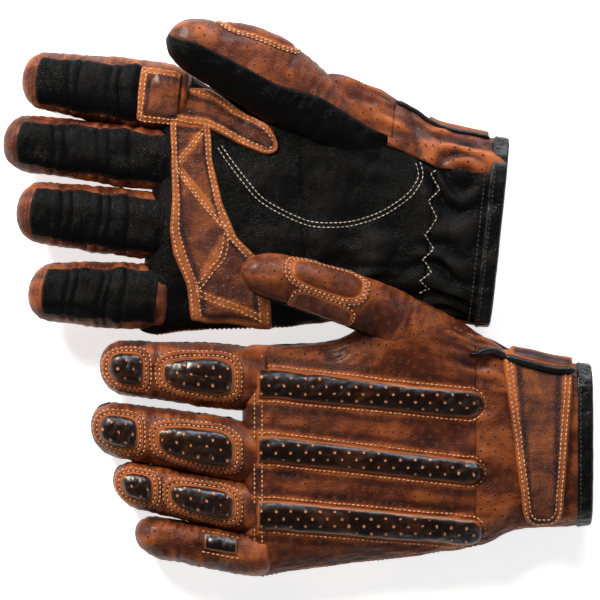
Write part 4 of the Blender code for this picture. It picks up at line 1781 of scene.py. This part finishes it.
    def finger_pad(self, surface: FingerSurface, plan: Plan, finger: str, kind: str,
                   taper: float, height: float) -> None:
        """One padded oval with its stitched frame, placed where the CAD pad is.

        Args:
            surface: the finger.
            plan: layout of the finger's back.
            finger: the finger's name.
            kind: "knuckle_pad" or "tip_pad".
            taper: how much narrower its far end is.
            height: height of its middle.
        """
        node = self.axes.measure(f"{kind}_{finger}")
        s = node[:, 0] - self.axes.knuckle
        y = node[:, 1] - (surface.root + surface.slope * s)
        tip = kind == "tip_pad"
        outline = Outline(0.5 * float(s.max() + s.min()) + (3.2 * MM if tip else 0.0),
                          0.5 * float(y.max() + y.min()),
                          0.5 * float(s.max() - s.min()) - (0.6 if tip else 1.7) * MM,
                          0.5 * float(y.max() - y.min()) - (1.9 if tip else 2.6) * MM, taper)
        pad = self.shop.pad(f"{kind}_{finger}_foam", plan, outline, height)
        ring = self.shop.ring(f"{kind}_{finger}_frame", plan, outline, finger,
                              (3.9 if tip else 4.3) * MM)
        self.shop.hand_over(pad, finger, [f"{kind}_{finger}"])
        self.shop.hand_over(ring, finger)

    def plain_insert(self, plan: Plan, length: float) -> None:
        """The little finger's plain dark insert near the knuckle, sewn along both sides.

        Args:
            plan: layout of the finger's back.
            length: length of the finger.
        """
        gx, gy = mesh_grid(np.linspace(6.0 * MM, 0.40 * length, 30), np.linspace(-1.0, 1.0, 21))
        made = self.shop.patch("little_insert", plan, gx, 3.0 * MM + gy * 4.2 * MM, 0.9 * MM, PAD_HIDE,
                               0.9 * MM,
                               puff=0.6 * MM)
        self.shop.hand_over(made, "little")
        x = np.linspace(5.0 * MM, 0.42 * length, 40)
        for way in (-5.4, 5.4):
            self.shop.thread("little").sew(plan, x, (3.0 + way) * MM + 0.0 * x)

    def thumb_parts(self) -> None:
        """The thumb: its brown tube, black front, raised punched pad, and seams."""
        surface = self.thumb
        part = np.concatenate([0.05 * slow_start(6) + 1e-5,
                               np.linspace(0.05, 1.0 - surface.tip, 96)[1:-1],
                               1.0 - surface.tip + surface.tip * quick_start(26)])
        tube = self.shop.skin("thumb_tube", surface, part, np.linspace(0.0, TURN, 97), PUNCHED_HIDE,
                              THUMB_LENGTH, lambda a, b: (1.0 - smoothstep(0.93, 0.96, a))
                              * smoothstep(-0.45, -0.2, np.sin(b)), closed=True)
        self.swing(tube, ["thumb_back"])
        plan = thumb_plan(surface)
        length = THUMB_LENGTH
        x, share = mesh_grid(np.linspace(0.060 * length, 0.965 * length, 112),
                             np.linspace(-1.0, 1.0, 49))
        front = thumb_plan(surface,
                           math.radians(218.0 if self.side == "right" else 236.0) - surface.roll)
        half = 13.2 * MM + 4.5 * MM * (1.0 - smoothstep(0.30 * length, 0.55 * length, x))
        half = half * np.sqrt(np.clip((0.985 * length - x) / (0.12 * length), 0.0, 1.0) ** 0.7)
        inset = self.shop.patch("thumb_inset", front, x, share * half, 1.05 * MM, PALM_HIDE, 1.1 * MM)
        half = 13.2 * MM
        self.swing(inset, ["thumb_front"])
        side = thumb_plan(surface, math.radians(142.0) - surface.roll)
        panel = Outline(0.715 * length, 0.0, 14.0 * MM, 5.6 * MM, -0.2, 4.0)
        pad = self.shop.pad("thumb_side_panel", side, panel, 0.9 * MM, STRIPED_HIDE)
        self.shop.hand_over(pad, "thumb")
        ring = self.shop.ring("thumb_side_frame", side, panel, "thumb", 2.8 * MM, 0.5 * MM, (1.5,))
        self.shop.hand_over(ring, "thumb")
        along = np.linspace(0.54 * length, 0.86 * length, 70)
        for way in (-1.0, 1.0):
            self.shop.thread("thumb", BURNT_THREAD).sew(front, along,
                                                        way * (half + 1.3 * MM) + 0.0 * along, 0.0)
        node = self.axes.measure("thumb_pad")
        reach = (node - surface.pivot) @ surface.direction
        total = float((surface.end - surface.pivot) @ surface.direction)
        low = 0.5 + 0.5 * float(reach.min()) / total
        high = 0.5 + 0.5 * float(reach.max()) / total
        if self.side == "right":
            low, high = low - 0.085, high - 0.06
        outline = Outline(0.5 * (low + high) * length, 0.0, 0.5 * (high - low) * length, 7.2 * MM, 0.12,
                          3.0)
        pad = self.shop.pad("thumb_foam", plan, outline, 2.4 * MM, PUNCHED_HIDE)
        self.shop.hand_over(pad, "thumb", ["thumb_pad"])
        ring = self.shop.ring("thumb_frame", plan, outline, "thumb", 3.6 * MM, 0.5 * MM, (1.4, 2.9))
        self.shop.hand_over(ring, "thumb")

    def swing(self, made: Piece, nodes: Sequence[str] = ()) -> None:
        """Bake the transform of a piece that crosses the thumb's root into its mesh, hide the CAD nodes
        that it stands for, and log it.

        Args:
            made: the piece.
            nodes: CAD nodes that it stands for, without their side.
        """
        surface = self.thumb
        pivot = self.axes.world(*[np.array(value) for value in surface.pivot])
        ahead = self.axes.world(*[np.array(value)
                                  for value in surface.pivot + surface.direction]) - pivot
        self.axes.name("hand")
        self.axes.name("thumb")
        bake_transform(made)
        self.shop.describe(made, nodes)

    def palm_work(self) -> None:
        """The four-part patch, the web patch, and the curved seam of the thumb's ball."""
        knuckle = self.axes.knuckle
        parts = np.array([0.72, 0.36, 0.0, -0.25, -0.43, -0.66, -0.93])
        upper = np.array([-1.5, -4.0, -6.7, -7.1, -10.0, -18.0, -22.0]) * MM
        lower = np.array([-21.5, -25.0, -32.0, -41.0, -55.0, -60.0, -63.0]) * MM
        fine = np.linspace(-0.93, 0.72, 90)
        top = knuckle + np.interp(fine, parts[::-1], upper[::-1])
        bottom = knuckle + np.interp(fine, parts[::-1], lower[::-1])
        thumb, little = self.hand.half_widths(np.array(knuckle - 25.0 * MM))
        v = fine * np.where(fine > 0.0, thumb, little)
        share, _ = mesh_grid(np.linspace(0.0, 1.0, 50), fine)
        x = bottom[None] + share * (top - bottom)[None]
        y = v[None] + 0.0 * x
        made = self.shop.patch("harlequin_patch", self.palm, x, y, 1.2 * MM, SMOOTH_HIDE, 1.2 * MM,
                               border=4.6 * MM)
        self.shop.hand_over(made, "hand", ["palm_patch"])
        tan = self.shop.thread("hand")

        def place(across: Array, along: Array) -> tuple[Array, Array]:
            """Plan position at parts across and along the patch.

            Args:
                across: parts of the way across.
                along: parts of the way along.

            Returns:
                Plan positions x and y.
            """
            where = np.interp(across, np.linspace(0.0, 1.0, 90), np.arange(90.0))
            low_edge, high_edge = np.interp(where, np.arange(90), bottom), np.interp(where,
                                                                                     np.arange(90), top)
            return low_edge + along * (high_edge - low_edge), np.interp(where, np.arange(90), v)

        run = np.linspace(0.03, 0.97, 120)
        for inset in (0.05, 0.14):
            tan.sew(self.palm, *place(run, inset + 0.0 * run), 1.25 * MM)
            tan.sew(self.palm, *place(run, 1.0 - inset + 0.0 * run), 1.25 * MM)
        corners = [(0.96, 0.10), (0.74, 0.90), (0.44, 0.10), (0.14, 0.90), (0.05, 0.12)]
        grid = np.stack([x, y], axis=-1)
        near = np.full(x.shape, 1.0)
        for first, second in zip(corners, corners[1:]):
            start, stop = (np.array([float(value[0])
                                     for value in place(np.array([c[0]]), np.array([c[1]]))])
                           for c in (first, second))
            line = stop - start
            part = np.clip(((grid - start) @ line) / (line @ line), 0.0, 1.0)
            near = np.minimum(near, np.linalg.norm(grid - start - part[..., None] * line, axis=-1))
        remark(made, "worn", 0.62 * (1.0 - smoothstep(1.8 * MM, 2.5 * MM, near)).ravel())
        for first, second in zip(corners, corners[1:]):
            step = np.linspace(0.0, 1.0, 60)
            for shift in (-0.012, 0.012):
                tan.sew(self.palm, *place(first[0] + (second[0] - first[0]) * step + shift,
                                          first[1] + (second[1] - first[1]) * step), 1.25 * MM)
        end = knuckle - 56.0 * MM
        root = FingerSurface(self.axes, "index", finger_relief).root
        rows = np.concatenate([end + 9.0 * MM * slow_start(14),
                               np.linspace(end + 9.0 * MM, knuckle - 0.5 * MM, 60)[1:]])
        centre = np.interp(rows, [end, knuckle - 20.0 * MM, knuckle], [0.63 * root, 0.92 * root, root])
        half = np.interp(rows, [end, knuckle - 20.0 * MM, knuckle], [7.0 * MM, 9.5 * MM, 11.8 * MM])
        rounded = np.clip((rows - end) / (9.0 * MM), 0.0, 1.0)
        half = half * np.sqrt(rounded * (2.0 - rounded))
        x, share = mesh_grid(rows, np.linspace(-1.0, 1.0, 31))
        y = np.minimum(centre[:, None] + share * half[:, None], 0.985 * thumb)
        made = self.shop.patch("web_cover", self.palm, x, y, 1.6 * MM, STRIPED_HIDE, 1.1 * MM,
                               border=4.0 * MM,
                               sides=(True, False, True, True))
        self.shop.hand_over(made, "hand", ["web_patch"])
        for inset in (1.5, 3.5):
            tan.sew(self.palm, rows[6:], (centre - half)[6:] + inset * MM, 1.6 * MM)
            tan.sew(self.palm, rows[6:], np.minimum((centre + half)[6:] - inset * MM, 0.96 * thumb),
                    1.6 * MM)
        turn = np.linspace(0.0, 1.0, 200)
        knots = np.linspace(0.0, 1.0, 10)
        seam_x = np.interp(turn, knots,
                           np.array([-27.0, -37.5, -50.0, -61.0, -76.0, -95.0, -110.5, -123.0,
                                                  -127.0, -124.0]) * MM) + knuckle
        seam_y = np.interp(turn, knots,
                           np.array([30.0, 17.6, 5.0, 0.0, -5.0, -3.0, 4.0, 14.6, 23.5, 30.6]) * MM)
        kernel = np.hanning(31) / np.hanning(31).sum()
        seam_x = np.convolve(np.pad(seam_x, 15, mode="edge"), kernel, mode="valid")
        seam_y = np.convolve(np.pad(seam_y, 15, mode="edge"), kernel, mode="valid")
        cream = self.shop.thread("hand", CREAM_THREAD)
        cream.sew(self.palm, seam_x, seam_y)
        outer = unit(np.stack([np.gradient(seam_x), np.gradient(seam_y)], axis=1))
        cream.sew(self.palm, seam_x - outer[:, 1] * 2.2 * MM, seam_y + outer[:, 0] * 2.2 * MM)

    def strap(self) -> None:
        """The closing strap over the cuff's back, its stitches, and the patch that it closes on."""
        node = self.axes.measure("strap")
        low, high = float(node[:, 0].min()), float(node[:, 0].max())
        start, stop = math.radians(17.0), math.radians(158.0)
        rows = np.linspace(0.0, 1.0, 44)
        turn = np.concatenate([np.linspace(start, stop - 0.42, 90),
                               stop - 0.42 + 0.42 * quick_start(20)[1:]])
        over = np.clip((turn - (stop - 0.42)) / 0.42, 0.0, 1.0)
        slant = smoothstep(start + 0.2, stop, turn) ** 0.8
        near, far = low + 2.0 * MM + 5.5 * MM * slant, high + 2.5 * MM - 10.5 * MM * slant
        middle, full = 0.5 * (near + far), 0.5 * (far - near)
        half = full * np.sqrt(np.maximum(1.0 - over ** 2.6, 0.0))
        share, angle = mesh_grid(rows * 2.0 - 1.0, turn)
        x = middle[None] + share * half[None]
        plan = Plan(HandSurface(self.axes, strap_relief), lambda a, b: (a, b))
        made = self.shop.patch("strap_leather", plan, x, angle, 3.1 * MM, SMOOTH_HIDE, 1.1 * MM,
                               border=4.6 * MM)
        thicken(made, 1.7 * MM)
        self.shop.hand_over(made, "strap", ["strap"])
        tan = self.shop.thread("strap")
        for inset in (1.7, 3.9):
            shrink = 1.0 - inset * MM / full
            outline = [(middle + way * full * shrink
                        * np.sqrt(np.maximum(1.0 - (over / shrink) ** 2.6, 0.0)))
                       for way in (-1.0, 1.0)]
            kept = (over <= shrink) & (turn > SLIT_TURN + 0.03)
            run_x = np.concatenate([outline[0][kept], outline[1][kept][::-1]])
            run_y = np.concatenate([turn[kept], turn[kept][::-1]])
            tan.sew(plan, run_x, run_y, 3.22 * MM)
        x = np.linspace(float(near[0]) - 1.0 * MM, 43.5 * MM, 40)
        edge = plan.at(x, SLIT_TURN + 0.0 * x,
                       4.0 * MM - 1.2 * MM * smoothstep(36.0 * MM, 43.5 * MM, x))
        self.shop.hand_over(self.shop.roll("strap_roll", edge, 2.0 * MM, BINDING_HIDE), "strap")
        x, angle = mesh_grid(np.linspace(float(near[0]), 41.0 * MM, 40),
                             np.linspace(start - 0.14, SLIT_TURN, 24))
        flap = self.shop.patch("strap_flap", plan, x, angle, 4.2 * MM, BROWN_HIDE, 1.1 * MM,
                               puff=2.0 * MM)
        self.shop.hand_over(flap, "strap")
        loop = self.axes.measure("loop_patch")
        x, angle = mesh_grid(np.linspace(float(loop[:, 0].min()) + 7.0 * MM,
                                         float(loop[:, 0].max()) - 10.0 * MM, 30),
                             np.radians(np.linspace(112.0, 140.0, 30)))
        under = Plan(self.hand, lambda a, b: (a, b))
        tape = self.shop.patch("loop_tape", under, x, angle, 0.8 * MM, TAPE, 0.6 * MM)
        self.shop.hand_over(tape, "hand", ["loop_patch"])


def strap_relief(u: Array, angle: Array, surface: HandSurface) -> Array:
    """Slow swellings of the thick strap, which bridges the cuff's folds."""
    return 0.35 * MM * ripple(u, angle * HAND_RADIUS, 77, (40.0 * MM, 26.0 * MM), 6)


# ---- stage
@dataclass
class Studio:
    """Pale floor, soft lights and the camera straight above the pair."""

    width: float = 0.2964
    centre: tuple[float, float] = (-0.0001, -0.0007)

    def floor(self) -> None:
        """A plain white sheet under the gloves."""
        corners = np.array([[-4.0, -4.0, 0.0], [4.0, -4.0, 0.0], [4.0, 4.0, 0.0], [-4.0, 4.0, 0.0]])
        corners[:, 2] = -0.4 * MM
        sheet = bpy.data.materials.new("floor_white")
        sheet.use_nodes = True
        shader = sheet.node_tree.nodes["Principled BSDF"]
        shader.inputs["Base Color"].default_value = linear("fbfbfb")
        shader.inputs["Roughness"].default_value = 0.9
        shader.inputs["Emission Color"].default_value = linear("ffffff")
        shader.inputs["Emission Strength"].default_value = 0.70
        made = make_object("floor", corners, np.array([[0, 1, 2, 3]]), sheet)

    def light(self, name: str, place: tuple[float, float, float], size: float, power: float,
              tint: str) -> None:
        """A square soft light that faces the pair.

        Args:
            name: the light's name.
            place: its position.
            size: length of its side.
            power: power in watts.
            tint: hex colour.
        """
        lamp = bpy.data.lights.new(name, "AREA")
        lamp.size, lamp.energy, lamp.color = size, power, linear(tint)[:3]
        made = bpy.data.objects.new(name, lamp)
        made.location = place
        made.rotation_euler = Vector(place).to_track_quat("Z", "Y").to_euler()
        bpy.context.scene.collection.objects.link(made)

    def build(self) -> None:
        """Set the stage."""
        self.floor()
        self.light("key", (-0.60, 0.75, 0.72), 0.34, 18.0, "fff6ec")
        self.light("window", (0.25, 0.95, 0.50), 0.45, 8.0, "e6efff")
        self.light("fill", (0.85, -0.60, 0.75), 0.80, 2.0, "ffffff")
        world = bpy.data.worlds.new("studio")
        world.use_nodes = True
        tree = world.node_tree
        height = add(tree, "SeparateXYZ", {0: add(tree, "TexCoord", output="Generated")}, "Z")
        sky = add(tree, "ValToRGB", {"Fac": height},
                  stops=((0.0, "ffffff"), (0.28, "f6f8ff"), (0.58, "7c7f86"), (0.85, "2a2b2e")))
        tree.links.new(sky, tree.nodes["Background"].inputs["Color"])
        tree.nodes["Background"].inputs["Strength"].default_value = 0.45
        bpy.context.scene.world = world
        camera = bpy.data.cameras.new("camera")
        made = bpy.data.objects.new("camera", camera)
        distance = 1.6
        camera.sensor_width = 36.0
        camera.lens = 36.0 * (distance - 0.025) / self.width
        camera.clip_start = 0.05
        made.location = (self.centre[0], self.centre[1], distance)
        bpy.context.scene.collection.objects.link(made)
        bpy.context.scene.camera = made
        bpy.context.scene.view_settings.view_transform = "Standard"


def main() -> None:
    """Build both gloves and the stage."""
    logging.basicConfig(level=logging.INFO, format="%(message)s")
    for side in ("right", "left"):
        Glove(side).build()
    Studio().build()


if __name__ == "__main__":
    main()
